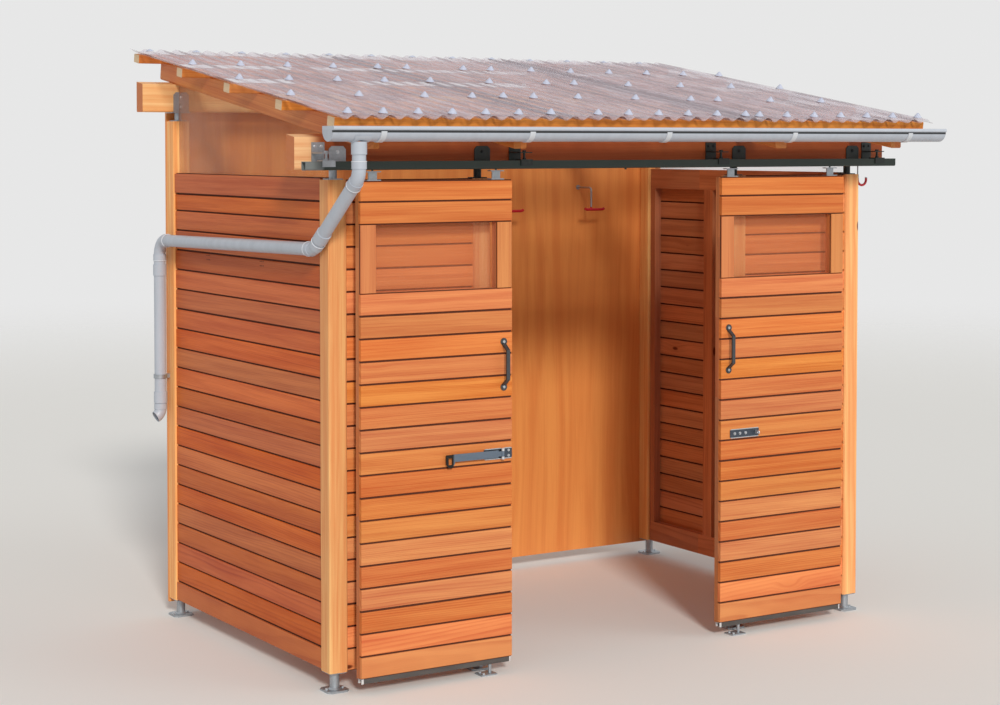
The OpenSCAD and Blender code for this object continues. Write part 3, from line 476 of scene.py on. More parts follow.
def piece(name, mesh, slot, body="shelter", edge=math.radians(32), replaces=()):
    """A finished piece at the origin: soft faces, sharp edges past an angle, on its body."""
    net = bmesh.new()
    net.from_mesh(mesh)
    for face in net.faces:
        face.smooth = True
    for line in net.edges:
        line.smooth = len(line.link_faces) == 2 and line.calc_face_angle(0) < edge
    net.to_mesh(mesh)
    net.free()
    made = bpy.data.objects.new(name, mesh)
    bpy.context.scene.collection.objects.link(made)
    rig.ride(made, body)
    if replaces:
        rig.replaces(made, *replaces)
    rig.slot(made, slot)
    return made


def paint(material, *nodes):
    """Puts a finish on nodes of the frame."""
    for node in nodes:
        slots = frame["nodes"][node].data.materials
        if len(slots) == 0:
            slots.append(material)
        for place in range(len(slots)):
            slots[place] = material


# ---------------------------------------------------------------- finishes

def timber(name, along, kind, colours, boards=False, cell=(0, 0, 0), knots=0.5, streak=0.55, ring_depth=0.45,
           end=None, painted_shadow_from=None, seed=0.0):
    """Sawn softwood under a clear orange glaze: rings cut at a slant, streaks, fibres and knots along one direction.

    Each board, or each cell of the given size, comes from another place in the log. The ends can have a colour of
    their own, which on the beams is partly painted shade, and past the given X the wood is darker: a painted shadow.
    """
    light, dark = colours.pair(kind)
    wood = Finish(name)
    x, y, z = wood.split(wood.position)
    if along == "slope":
        cos, sin = math.cos(ROOF_SLOPE), math.sin(ROOF_SLOPE)
        run, side, rise = y * cos + z * sin, x, z * cos - y * sin
    elif along == "frame":
        low_rail, high_rail = 0.18, 1.92
        upright = (z > low_rail) * (z < high_rail)
        level = 1 - upright
        run, side, rise = z * upright + y * level, x, y * upright + z * level
    else:
        run, side, rise = {"X": (x, y, z), "Y": (y, x, z), "Z": (z, x, y)}[along]

    if boards:
        chance = wood.add("ShaderNodeAttribute", {"attribute_name": "board"})["Vector"]
    else:
        key = [wood.math("FLOOR", part / size) if size else seed for part, size in zip((x, y, z), cell)]
        chance = wood.add("ShaderNodeTexWhiteNoise", {"noise_dimensions": "3D"},
                          Vector=wood.vector(key[0] + 0.5 * seed, key[1] + seed, key[2]))["Color"]
    first, second, third = wood.split(chance)

    warp = wood.noise(wood.vector(run * 0.9 + first * 19, side * 5 + second * 23, rise * 5 + third * 29), 1.6) - 0.5
    field = wood.add("ShaderNodeTexVoronoi", {"voronoi_dimensions": "3D", "feature": "F1"}, Scale=1.0, Randomness=1.0,
                     Vector=wood.vector(run * 2.6 + third * 17, side * 7 + first * 13, rise * 7 + second * 11))
    chosen = wood.red_of(field["Color"]) > 1 - 0.3 * knots
    near_knot = field["Distance"].ramp(0.34, 0.02) * chosen
    knot = field["Distance"].ramp(0.075, 0.035) * chosen

    slant = run + warp * 0.12
    across = side + (first - 0.5) * 0.10 + slant * (second - 0.5) * 0.020
    deep = rise + (third - 0.5) * 0.16 + slant * (first - 0.5) * 0.024
    radius = wood.math("SQRT", across * across + deep * deep) + warp * 0.007 + near_knot * 0.010
    uneven = wood.noise(wood.vector(run * 0.7 + third * 7, radius * 60, second * 37)) - 0.5
    growth = radius / YEAR_RING + uneven * 3.2
    year = wood.math("FLOOR", growth)
    band = growth - year
    vigour = wood.add("ShaderNodeTexWhiteNoise", {"noise_dimensions": "2D"},
                      Vector=wood.vector(year, first * 91, 0.0))["Value"]
    late = band.ramp(0.30, 0.9) * (1 - band.ramp(0.90, 1.0)) * (vigour * 0.85 + 0.15)
    streaks = wood.noise(wood.vector(run * 1.3 + second * 31, radius * 55, third * 37), 1.0, 3.0, 0.6)
    fine = wood.noise(wood.vector(run * 9 + first * 11, side * 420, rise * 420), 1.0, 2.0, 0.6)
    cloud = wood.noise(wood.vector(run * 1.1 + first * 41, side * 3, rise * 3), 1.5)

    share = streaks.ramp(0.28, 0.72) * streak + late * ring_depth + (fine - 0.5) * 0.30 + (cloud - 0.5) * 0.25
    tone = 0.83 + second * 0.25 + (cloud - 0.5) * 0.12
    tone = wood.add("ShaderNodeCombineColor", None, tone, tone, tone)["Color"]
    colour = wood.blend(1.0, wood.blend(share.capped(), light, dark), tone, "MULTIPLY")
    colour = wood.add("ShaderNodeHueSaturation", Hue=0.493 + first * 0.010, Saturation=0.95 + third * 0.08,
                      Value=1.0, Color=colour)["Color"]
    colour = wood.blend(knot, wood.blend(near_knot * 0.30, colour, dark), tuple(colours.knot))
    # Painted shadow: past the given x the colour is multiplied darker.
    if painted_shadow_from:
        painted_shadow = wood.blend(1.0, colour, srgb(176, 116, 84), "MULTIPLY")
        colour = wood.blend(x.ramp(painted_shadow_from, painted_shadow_from + 0.07), colour, painted_shadow)
    # On the beams this end colour is partly painted shade.
    if end:
        facing = wood.split(wood.coordinates["Normal"])[0].size() > 0.8
        colour = wood.blend(facing, colour, wood.blend(late * 0.5 + (fine - 0.5) * 0.5, end, scaled(end, 0.62)))
    wood.surface(Base_Color=colour, Specular_IOR_Level=0.28,
                 Roughness=0.5 + (streaks - 0.5) * 0.14 + (fine - 0.5) * 0.16)
    return wood.relief(late * -0.35 + fine * 0.5 + knot * 0.3, 0.0007)


def tongue_painted_shade(name):
    """Dark unglazed tongue at the bottom of the joints: painted shade in the open joints, with a faint mottle."""
    wood = Finish(name)
    shade_mottle = wood.noise(wood.position, 45.0, 3.0)
    wood.surface(Base_Color=wood.blend(shade_mottle, srgb(58, 24, 11), srgb(96, 44, 20)), Roughness=0.75 + shade_mottle * 0.15)
    return wood.relief(shade_mottle, 0.0004)


def plywood(name, light, dark):
    """The glazed panels of the back wall: rotary veneer with a wide upright figure."""
    wood = Finish(name)
    x, y, z = wood.split(wood.position)
    sheet = wood.math("FLOOR", (x - ORIGIN.x) / BACK_PANEL)
    warp = wood.noise(wood.vector(x * 2 + sheet * 7, y, z * 0.6), 1.3) - 0.5
    figure = wood.noise(wood.vector((x + warp * 0.12) * 16 + sheet * 3, sheet * 5, z * 0.8 + warp * 2), 1.0, 3.0, 0.55)
    lines = wood.noise(wood.vector((x + warp * 0.1) * 120, sheet, z * 2.4))
    fine = wood.noise(wood.vector(x * 600, y * 600, z * 14), 1.0, 1.0)
    share = figure.ramp(0.3, 0.7) * 0.6 + (lines - 0.5) * 0.5 + (fine - 0.5) * 0.25
    wood.surface(Base_Color=wood.blend(share.capped(), light, dark), Roughness=0.48 + (figure - 0.5) * 0.15)
    return wood.relief(fine * 0.5 + lines * 0.3, 0.0005)


def zinc(name, colour, roughness=0.36, metal=0.85):
    """Hot-dip zinc on steel: soft spangle, dull patches."""
    coat = Finish(name)
    flake = coat.flakes()
    patch = coat.noise(coat.position, 18.0, 3.0)
    coat.surface(Base_Color=coat.blend(flake * 0.35 + patch.ramp(0.4, 0.75) * 0.45, colour, scaled(colour, 0.72)),
                 Roughness=roughness + flake * 0.12 + patch * 0.15, Metallic=metal)
    return coat.relief(patch * 0.5 + flake * 0.2, 0.0004)


def track_paint(name, colour):
    """Dark green paint on the track, dusty on its upper edges and worn grey at the left end."""
    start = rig.box("track")[0].x
    coat = Finish(name)
    up = coat.split(coat.coordinates["Normal"])[2]
    dust = coat.noise(coat.position, 30.0, 3.0)
    dusty = coat.blend(0.3, colour, srgb(150, 150, 135))
    end = 1 - coat.split(coat.position)[0].ramp(start + 0.070, start + 0.085)
    worn = coat.blend(end * 0.8, colour, srgb(126, 132, 132))
    coat.surface(Base_Color=coat.blend(up.ramp(0.3, 1.0) * dust.ramp(0.35, 0.7) * 0.8 + dust * 0.10, worn, dusty),
                 Roughness=0.34 + dust * 0.25)
    return coat.relief(dust, 0.0003)


def part_painted(name, colours, is_bare):
    """Bare zinc where is_bare says so of x, y and z, dark green elsewhere: paint on the hangers, painted shade on the
    brackets.
    """
    coat = Finish(name)
    bare = is_bare(*coat.split(coat.position))
    wear = coat.noise(coat.position, 34.0, 3.0)
    metal = tuple(colours.zinc)
    bare_tint = coat.blend(coat.flakes() * 0.35 + wear * 0.3, metal, scaled(metal, 0.7))
    green_tint = coat.blend(wear.ramp(0.5, 0.8) * 0.35, srgb(27, 36, 33), srgb(74, 82, 76))
    coat.surface(Base_Color=coat.blend(bare, green_tint, bare_tint), Metallic=bare * 0.85, Roughness=0.36 + wear * 0.2)
    return coat.relief(wear, 0.0003)


def worn_steel(name, plain, rubbed, share, stretch, metal, roughness, marked, is_marked):
    """Flat steel, rubbed in streaks, in a third tint where is_marked says so of x, y and z."""
    coat = Finish(name)
    place = coat.split(coat.position)
    wear = coat.noise(coat.vector(*(part * size for part, size in zip(place, stretch))), 1.0, 3.0)
    steel = coat.blend(wear * share, plain, rubbed)
    coat.surface(Base_Color=coat.blend(is_marked(*place), steel, marked), Metallic=metal,
                 Roughness=roughness + wear * 0.2)
    return coat.relief(wear, 0.0002)


def lock_plate(name, node, pin_x):
    """Dark blue-grey lock plate, bright along its upper and lower rim and at its pin."""
    low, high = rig.box(node)

    def is_bright(x, y, z):
        rim = (z - (low.z + high.z) / 2).size() > (high.z - low.z) / 2 - 0.0035
        pin = (x > pin_x) * (x < pin_x + 0.016) * (y < high.y - 0.004)
        return (rim * 0.85).sum("MAXIMUM", pin)

    return worn_steel(name, srgb(66, 74, 86), srgb(102, 110, 120), 0.7, (40, 40, 40), 0.85, 0.26,
                      srgb(214, 217, 220), is_bright)


def channel_zinc(name, node):
    """Channel under a door: dark along its length as painted shade under the door, bright at its cut ends as a painted
    highlight.
    """
    low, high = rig.box(node)
    return worn_steel(name, srgb(112, 110, 108), srgb(70, 66, 64), 0.8, (9, 60, 60), 0.7, 0.36, srgb(226, 228, 230),
                      lambda x, y, z: (x < low.x + 0.010).sum("MAXIMUM", x > high.x - 0.006))


def bar_steel(name):
    """Blue-grey flat steel of the locking bar, with its foot blackened."""
    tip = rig.box("locking_bar")[0].x
    return worn_steel(name, srgb(120, 134, 150), srgb(86, 98, 112), 0.6, (12, 60, 60), 0.75, 0.34, srgb(46, 44, 42),
                      lambda x, y, z: 1 - x.ramp(tip + 0.030, tip + 0.040))


def gutter_plastic(name, colour, bead=False):
    """Grey rigid plastic with faint rain marks; on the gutter, a painted highlight on the bead and a painted shadow in
    the groove under it.
    """
    coat = Finish(name)
    x, y, z = coat.split(coat.position)
    marks = coat.noise(coat.vector(x * 22, y * 22, z * 3), 1.0, 3.0, 0.6)
    speck = coat.noise(coat.position, 160.0, 1.0)
    pale = scaled(colour, 1.18)
    plain = coat.blend(0.22, colour, coat.blend(marks.ramp(0.3, 0.75), pale, scaled(colour, 0.78)))
    if bead:
        front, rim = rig.box("gutter")[0].y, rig.box("gutter")[1].z
        bead_shadow = z.ramp(rim - 0.0250, rim - 0.0235) * (1 - z.ramp(rim - 0.0165, rim - 0.0150))
        outside = 1 - y.ramp(front + 0.016, front + 0.018)
        # Painted highlight: the bead's upper band is paler.
        plain = coat.blend(z.ramp(rim - 0.0150, rim - 0.0130) * 0.5, plain, pale)
        # Painted shadow: a dark line in the groove under the bead.
        plain = coat.blend(bead_shadow * outside * 0.96, plain, srgb(16, 19, 22))
    coat.surface(Base_Color=plain, Roughness=0.30 + marks * 0.16 + speck * 0.06)
    return coat.relief(marks * 0.4 + speck * 0.1, 0.0002)


def sheet_step(roof):
    """How far each roof sheet lies to the right of the one before."""
    low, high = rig.box("roof_sheets")
    return (high.x - low.x - roof.sheet) / 2


def clear_roof(name, colour, roof):
    """Clear waved sheet with a little dust, a painted highlight on one flank and along the crests, and painted shade as
    dark dashes on the other flank and in the troughs.
    """
    sheet = Finish(name)
    x, y, z = sheet.split(sheet.position)
    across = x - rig.box("roof_sheets")[0].x
    turn = across * (2 * math.pi / roof.wave)
    crest, flank = turn.sum("COSINE"), turn.sum("SINE")
    dash = sheet.noise(sheet.vector(x * 14, y * 2.2, 0.0), 1.0, 2.0, 0.6)
    drawn = sheet.noise(sheet.vector(x * 110, y * 1.4, 0.0), 1.0, 2.0, 0.6)
    dust = sheet.noise(sheet.vector(x * 7, y * 2.5, z * 2.5), 1.0, 3.0)
    # Painted highlight on one flank and along the crests.
    bright = (flank * -1.0).ramp(0.15, 0.95) * 0.6 + crest.ramp(0.7, 1.0) * 0.4
    # Painted shade: dark dashes on the other flank and in the troughs.
    dark = flank.ramp(0.45, 1.0) * dash.ramp(0.40, 0.62) + crest.ramp(-0.75, -1.0) * dash.ramp(0.55, 0.40) * 0.7
    alpha_with_painted_light = bright * 0.38 + dark * 0.52 + drawn.ramp(0.45, 0.75) * 0.14 + dust * 0.08 + 0.06
    step = sheet_step(roof)
    lapped = (across > step) * (across < roof.sheet) + (across > 2 * step) * (across < step + roof.sheet)
    dusty = sheet.blend(dust.ramp(0.45, 0.75) * 0.4, colour, srgb(205, 200, 212))
    sheet.surface(Base_Color=sheet.blend((dark * 1.3).capped(), dusty, srgb(124, 74, 62)),
                  Alpha=alpha_with_painted_light * (1 - lapped * 0.45), Roughness=0.16 + dust * 0.16, Specular_IOR_Level=0.35)
    return sheet.relief(drawn * 0.5 + dust * 0.3, 0.0004)


def clear_pane(name, colour, rib_pitch, haze, far_haze=0.0):
    """Twin-walled clear sheet: fine level ribs and a milky haze, which can grow towards the back."""
    sheet = Finish(name)
    x, y, z = sheet.split(sheet.position)
    rib = (z / rib_pitch).sum("FRACT")
    lines = (1 - rib.ramp(0.0, 0.14)) + rib.ramp(0.86, 1.0)
    cloud = sheet.noise(sheet.vector(x * 3, y * 3, z * 5))
    veil = cloud * y.ramp(at(0, 0.75, 0).y, at(0, 1.5, 0).y) * far_haze
    sheet.surface(Base_Color=colour, Alpha=lines * 0.05 + cloud * 0.05 + veil + (haze - 0.025),
                  Roughness=0.20 + cloud * 0.1, Specular_IOR_Level=0.3)
    return sheet.material


def hook_coat(name, colours, top):
    """Zinc-plated rod with a red soft sleeve below a height."""
    coat = Finish(name)
    red = coat.split(coat.position)[2] < top
    wear = coat.noise(coat.position, 60.0)
    metal, sleeve = tuple(colours.zinc), tuple(colours.red)
    zinc_tint = coat.blend(wear * 0.4, metal, scaled(metal, 0.7))
    red_tint = coat.blend(wear * 0.3, sleeve, scaled(sleeve, 0.6))
    coat.surface(Base_Color=coat.blend(red, zinc_tint, red_tint), Metallic=(1 - red) * 0.85,
                 Roughness=0.34 + wear * 0.16)
    return coat.relief(wear, 0.0002)


def cap_plastic(name):
    """Milky screw caps of the roof."""
    coat = Finish(name)
    cloud = coat.noise(coat.position, 40.0)
    coat.surface(Base_Color=coat.blend(cloud * 0.5, srgb(226, 233, 252), srgb(186, 198, 230)),
                 Alpha=0.62 + cloud * 0.2, Roughness=0.20 + cloud * 0.12)
    return coat.relief(cloud, 0.0002)


# ---------------------------------------------------------------- boards

def plank_run():
    """A run of like boards, one above the other, with the tongue that closes their joints."""
    tree = Shape("plank_run", Length=("Float", 1.0), Board=("Float", 0.08), Pitch=("Float", 0.0888), Count=("Int", 1),
                 Thickness=("Float", 0.02), Rounding=("Float", 0.003), Tongue=("Float", 0.005), Sway=("Float", 0.0005),
                 Seed=("Int", 0), Turn=("Rotation", None), Place=("Vector", (0, 0, 0)), Finish=("Material", None),
                 Tongue_finish=("Material", None))
    long, pitch, count, sway, seed = (tree.read(label) for label in ("Length", "Pitch", "Count", "Sway", "Seed"))
    outline = tree.shape("CurvePrimitiveQuadrilateral", {"mode": "RECTANGLE"},
                         Width=tree.read("Thickness"), Height=tree.read("Board"))
    outline = tree.shape("FilletCurve", {"mode": "POLY"}, Curve=outline, Count=3, Radius=tree.read("Rounding"))
    line = tree.shape("CurvePrimitiveLine", {"mode": "POINTS"},
                      Start=tree.vector(long * -0.5, 0.0, 0.0), End=tree.vector(long * 0.5, 0.0, 0.0))
    board = tree.shape("CurveToMesh", Curve=line, Profile_Curve=outline, Fill_Caps=True)
    rows = tree.shape("MeshLine", {"mode": "OFFSET"}, Count=count,
                      Start_Location=tree.vector(0.0, 0.0, pitch * 0.5), Offset=tree.vector(0.0, 0.0, pitch))
    push = tree.add("FunctionNodeRandomValue", {"data_type": "FLOAT_VECTOR"}, Seed=seed,
                    Min=tree.vector(sway * -1.0, sway * -0.5, sway * -1.0), Max=tree.vector(sway, sway * 0.5, sway))
    rows = tree.shape("SetPosition", Geometry=rows, Offset=push["Value"])
    boards = tree.shape("InstanceOnPoints", Points=rows, Instance=board)
    chance = tree.add("FunctionNodeRandomValue", {"data_type": "FLOAT_VECTOR"},
                      Min=(0, 0, 0), Max=(1, 1, 1), Seed=seed + 100)
    boards = tree.shape("StoreNamedAttribute", {"data_type": "FLOAT_VECTOR", "domain": "INSTANCE"},
                        Geometry=boards, Name="board", Value=chance["Value"])
    boards = tree.shape("RealizeInstances", Geometry=boards)
    tongue = tree.shape("MeshCube", Size=tree.vector(long - 0.002, tree.read("Tongue"), pitch * count))
    tongue = tree.shape("Transform", Geometry=tongue, Translation=tree.vector(0.0, 0.0, pitch * count * 0.5))
    tongue = tree.shape("SetMaterial", Geometry=tongue, Material=tree.read("Tongue_finish"))
    boards = tree.shape("SetMaterial", Geometry=boards, Material=tree.read("Finish"))
    both = tree.shape("JoinGeometry", Geometry=[tongue, boards])
    return tree.result(tree.shape("Transform", Geometry=both, Translation=tree.read("Place"),
                                  Rotation=tree.read("Turn")))


def level_run(span, bottom, top, count, thickness, x, y, finish, heading=0):
    """Level boards from bottom to top, their middle at x and y."""
    return {"Length": span, "Pitch": (top - bottom) / count, "Count": count, "Thickness": thickness,
            "Turn": Euler((0, 0, math.radians(heading))), "Place": Vector((x, y, bottom)), "Finish": finish}


def boarding(name, group, runs, sizes):
    """The mesh of all boards of one wall or door, run by run."""
    tree = Shape(name, Rounding=("Float", 0.003), Tongue=("Float", 0.005), Sway=("Float", 0.0005),
                 Joint=("Float", 0.005))
    # The dark tongue in each joint is painted shade.
    dark = bpy.data.materials.get("joint_tongue") or tongue_painted_shade("joint_tongue")
    given = {label: tree.read(label) for label in ("Rounding", "Tongue", "Sway")}
    made = []
    for place, run in enumerate(runs):
        values = {**given, **run, "Seed": sizes.seed + 13 * place, "Tongue_finish": dark}
        if "Board" not in run:
            values["Board"] = run["Pitch"] - tree.read("Joint")
        made.append(tree.shape("Group", {"node_tree": group.tree}, **values))
    tree.result(tree.shape("JoinGeometry", Geometry=made))
    return tree.mesh(name, Rounding=sizes.rounding, Tongue=sizes.tongue, Sway=sizes.sway, Joint=sizes.joint)


class SHELTER_OT_side_walls(bpy.types.Operator):
    """Boards of the two side walls, with their bottom and cap boards standing proud"""
    bl_idname = "shelter.side_walls"
    bl_label = "Side wall boards"

    def execute(self, context):
        sizes, colours = context.scene.shelter_boards, context.scene.shelter_timber
        finishes = [timber(f"side_board_glaze_{side}", "Y", kind, colours, boards=True)
                    for side, kind in zip(SIDES, ("wall", "inner"))]
        group = plank_run()
        thickness, proud, top_joint = 0.020, 0.004, 1.929
        for side, face, finish in zip(SIDES, (1, -1), finishes):
            node = f"side_boards_{side}"
            low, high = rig.box(node)
            inner = high.x if side == "left" else low.x
            joints = [low.z + sizes.pitch * k for k in range(21)] + [top_joint, high.z]
            runs = []
            for first, last in ((0, 1), (1, 20), (20, 21), (21, 22)):
                depth = thickness + (proud if first in (0, 21) else 0)
                runs.append(level_run(high.y - low.y - 0.001, joints[first], joints[last], last - first, depth,
                                      inner - face * depth / 2, (low.y + high.y) / 2, finish, heading=90))
            mesh = boarding(f"side_boards_{side}_boarding", group, runs, sizes)
            piece(f"side_planks_{side}", mesh, "timber", replaces=[node])
        return {"FINISHED"}


class SHELTER_OT_front_walls(bpy.types.Operator):
    """Boards between the front posts, either side of the doorway"""
    bl_idname = "shelter.front_walls"
    bl_label = "Front wall boards"

    def execute(self, context):
        sizes = context.scene.shelter_boards
        # These lighter front colours are painted light.
        finish = timber("front_board_glaze", "X", "front", context.scene.shelter_timber, boards=True)
        group = plank_run()
        for side in SIDES:
            node = f"front_boards_{side}"
            low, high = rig.box(node)
            rows = round((high.z - low.z) / sizes.front_pitch)
            run = level_run(high.x - low.x - 0.001, low.z, high.z, rows, high.y - low.y, (low.x + high.x) / 2,
                            (low.y + high.y) / 2, finish)
            mesh = boarding(f"front_boards_{side}_boarding", group, [run], sizes)
            piece(f"front_planks_{side}", mesh, "timber", replaces=[node])
        return {"FINISHED"}


class SHELTER_OT_door_boards(bpy.types.Operator):
    """Boards of the two sliding doors, with the upright boards either side of each window"""
    bl_idname = "shelter.door_boards"
    bl_label = "Door boards"

    def execute(self, context):
        sizes, colours = context.scene.shelter_boards, context.scene.shelter_timber
        level = timber("door_board_glaze", "X", "board", colours, boards=True)
        upright = timber("door_stile_glaze", "Z", "board", colours, boards=True, ring_depth=0.3, streak=0.4)
        group = plank_run()
        stile, boards_below, boards_beside = 0.069, 17, 3
        for side in SIDES:
            node = f"{side}_door_boards"
            low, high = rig.box(node)
            below = low.z + boards_below * sizes.pitch
            above = low.z + (boards_below + boards_beside) * sizes.pitch
            middle_y, thickness = (low.y + high.y) / 2, high.y - low.y
            runs = [level_run(high.x - low.x, bottom, top, count, thickness, (low.x + high.x) / 2, middle_y, level)
                    for bottom, top, count in ((low.z, below, boards_below), (above, above + sizes.pitch, 1),
                                               (above + sizes.pitch, high.z, 1))]
            for x in (low.x, high.x - stile):
                runs.append({"Length": above - below - 0.001, "Pitch": stile, "Board": stile - 0.001, "Count": 1,
                             "Thickness": thickness, "Turn": Euler((0, math.radians(90), 0)),
                             "Place": Vector((x, middle_y, (below + above) / 2)), "Finish": upright})
            mesh = boarding(f"{side}_door_boarding", group, runs, sizes)
            piece(f"{side}_door_planks", mesh, "timber", body=f"{side}_door", replaces=[node])
        return {"FINISHED"}


# ---------------------------------------------------------------- roof

def roof_plane():
    """The roof's front lower edge, its length up the slope and its depth across the slope."""
    low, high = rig.box("roof_sheets")
    cos, sin = math.cos(ROOF_SLOPE), math.sin(ROOF_SLOPE)
    reach, rise = high.y - low.y, high.z - low.z
    up = (reach * cos - rise * sin) / (cos * cos - sin * sin)
    depth = (rise * cos - reach * sin) / (cos * cos - sin * sin)
    return Vector((0, low.y + depth * sin, low.z)), up, depth


class SHELTER_OT_roof(bpy.types.Operator):
    """Three overlapping waved clear sheets on the purlins"""
    bl_idname = "shelter.roof"
    bl_label = "Roof sheets"

    def execute(self, context):
        roof = context.scene.shelter_roof
        front, up, depth = roof_plane()
        tree = Shape("waved_sheet", Width=("Float", 1.0), Length=("Float", 2.0), Wave=("Float", 0.076),
                     Height=("Float", 0.018), Phase=("Float", 0.0), Place=("Vector", (0, 0, 0)),
                     Slope=("Float", 0.0), Finish=("Material", None))
        grid = tree.shape("MeshGrid", Size_X=tree.read("Width"), Size_Y=tree.read("Length"),
                          Vertices_X=202, Vertices_Y=9)
        x = tree.split(tree.add("GeometryNodeInputPosition")["Position"])[0]
        wave = tree.math("COSINE", (x + tree.read("Phase")) * 2 * math.pi / tree.read("Wave")) * 0.5 + 0.5
        bent = tree.shape("SetPosition", Geometry=grid, Offset=tree.vector(0.0, 0.0, wave * tree.read("Height")))
        tree.coated(tree.shape("Transform", Geometry=bent, Translation=tree.read("Place"),
                               Rotation=tree.vector(tree.read("Slope"), 0.0, 0.0)))
        finish = clear_roof("clear_sheet_roof", tuple(context.scene.shelter_metals.clear), roof)
        step = sheet_step(roof)
        for number in range(3):
            name = f"roof_sheet_{number + 1}"
            raised = (depth - roof.height if number == 1 else roof.thickness) - roof.thickness / 2
            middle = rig.box("roof_sheets")[0].x + step * number + roof.sheet / 2
            centre = front + UP_ROOF * (up / 2) + OFF_ROOF * raised + Vector((middle, 0, 0))
            mesh = tree.mesh(name, Width=roof.sheet, Length=up, Wave=roof.wave, Height=roof.height,
                             Phase=roof.sheet / 2 + step * number, Place=centre, Slope=ROOF_SLOPE, Finish=finish)
            made = piece(name, mesh, "clear_sheet", edge=math.radians(40))
            wall = made.modifiers.new("sheet thickness", "SOLIDIFY")
            wall.thickness, wall.offset = roof.thickness, 0
            if number == 0:
                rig.replaces(made, "roof_sheets")
        return {"FINISHED"}


class SHELTER_OT_roof_caps(bpy.types.Operator):
    """Screw caps on the sheets' crests, in a row over each purlin"""
    bl_idname = "shelter.roof_caps"
    bl_label = "Roof screw caps"

    def execute(self, context):
        roof = context.scene.shelter_roof
        low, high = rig.box("roof_sheets")
        front, up, _ = roof_plane()
        rows = [[*range(1, 14, 2), *range(16, 27, 2), *range(27, 40, 2)],
                [1, 5, 9, 12, 14, 16, 19, 23, 27, 29, 33, 37],
                [1, 4, 7, 10, 13, 17, 21, 23, 27, 31, 35, 39],
                [1, 4, 7, 10, 13, 15, 19, 21, 24, 27, 30, 33, 36, 39],
                [*range(1, 38, 3)]]
        first, last, upper_sheet, sunk, low_cap = 0.059, up - 0.055, 0.0023, 0.0015, 0.36
        step = sheet_step(roof)
        spots, heights = [], []
        for row, crests in enumerate(rows):
            for x in (low.x + crest * roof.wave for crest in crests):
                if x <= high.x - roof.cap_radius:
                    on_upper = low.x + step - 0.01 < x < low.x + 2 * step + 0.14
                    lift = roof.height + roof.thickness + (upper_sheet if on_upper else 0) - sunk
                    along = UP_ROOF * (first + (last - first) * row / 4)
                    spots.append(front + along + OFF_ROOF * lift + Vector((x, 0, 0)))
                    heights.append(low_cap if row == 4 else 1.0)
        tree = Shape("screw_caps", Places=("Geometry", None), Radius=("Float", 0.0135), Height=("Float", 0.0095),
                     Slope=("Float", 0.0), Finish=("Material", None))
        radius, height = tree.read("Radius"), tree.read("Height")
        skirt = tree.shape("MeshCone", {"fill_type": "NGON"}, Vertices=10, Radius_Top=radius * 0.30,
                           Radius_Bottom=radius, Depth=height * 0.86)
        brim = tree.shape("MeshCylinder", Vertices=12, Radius=radius, Depth=0.0016)
        head = tree.shape("MeshCylinder", Vertices=6, Radius=radius * 0.24, Depth=height * 0.30)
        head = tree.shape("Transform", Geometry=head, Translation=tree.vector(0.0, 0.0, height * 0.85))
        tree.spread(tree.shape("JoinGeometry", Geometry=[skirt, brim, head]),
                    Rotation=tree.vector(tree.read("Slope"), 0.0, 0.0),
                    Scale=tree.vector(1.0, 1.0, tree.layer("FLOAT", "stretch")))
        mesh = tree.mesh("roof_caps", places("cap", spots, "stretch", "FLOAT", "value", heights),
                         Radius=roof.cap_radius, Height=roof.cap_height, Slope=ROOF_SLOPE,
                         Finish=cap_plastic("cap_plastic"))
        piece("roof_caps", mesh, "clear_sheet")
        return {"FINISHED"}


# ---------------------------------------------------------------- rings, screws and bolts

class SHELTER_OT_pipe_rings(bpy.types.Operator):
    """Pale rings at the edges of the downpipe's collars"""
    bl_idname = "shelter.pipe_rings"
    bl_label = "Pipe rings"

    def execute(self, context):
        tree = Shape("collar_ring", Places=("Geometry", None), Radius=("Float", 0.029), Thickness=("Float", 0.0015),
                     Finish=("Material", None))
        line, bead = (tree.shape("CurvePrimitiveCircle", {"mode": "RADIUS"}, Resolution=count, Radius=tree.read(label))
                      for count, label in ((32, "Radius"), (6, "Thickness")))
        tree.spread(tree.shape("CurveToMesh", Curve=line, Profile_Curve=bead), Rotation=tree.facing())
        pipe_x, slant, fall = -0.0425, (0, -0.793, 0.609), (0, 1, -0.0175)
        edges = [(0.0027, 1.7727, slant), (0.0871, 1.7432, fall), (1.4922, 1.7186, fall), (1.5850, 1.6242, UP),
                 (-0.3320, 2.0883, UP), (-0.2856, 1.9942, slant)]
        points = facing_places("collar", [(pipe_x, y, z) for y, z, _ in edges], [way for _, _, way in edges])
        mesh = tree.mesh("pipe_collar_rings", points, Radius=0.0288, Thickness=0.0016,
                         Finish=gutter_plastic("collar_edge", srgb(224, 228, 234)))
        piece("pipe_collar_rings", mesh, "grey_plastic")
        return {"FINISHED"}


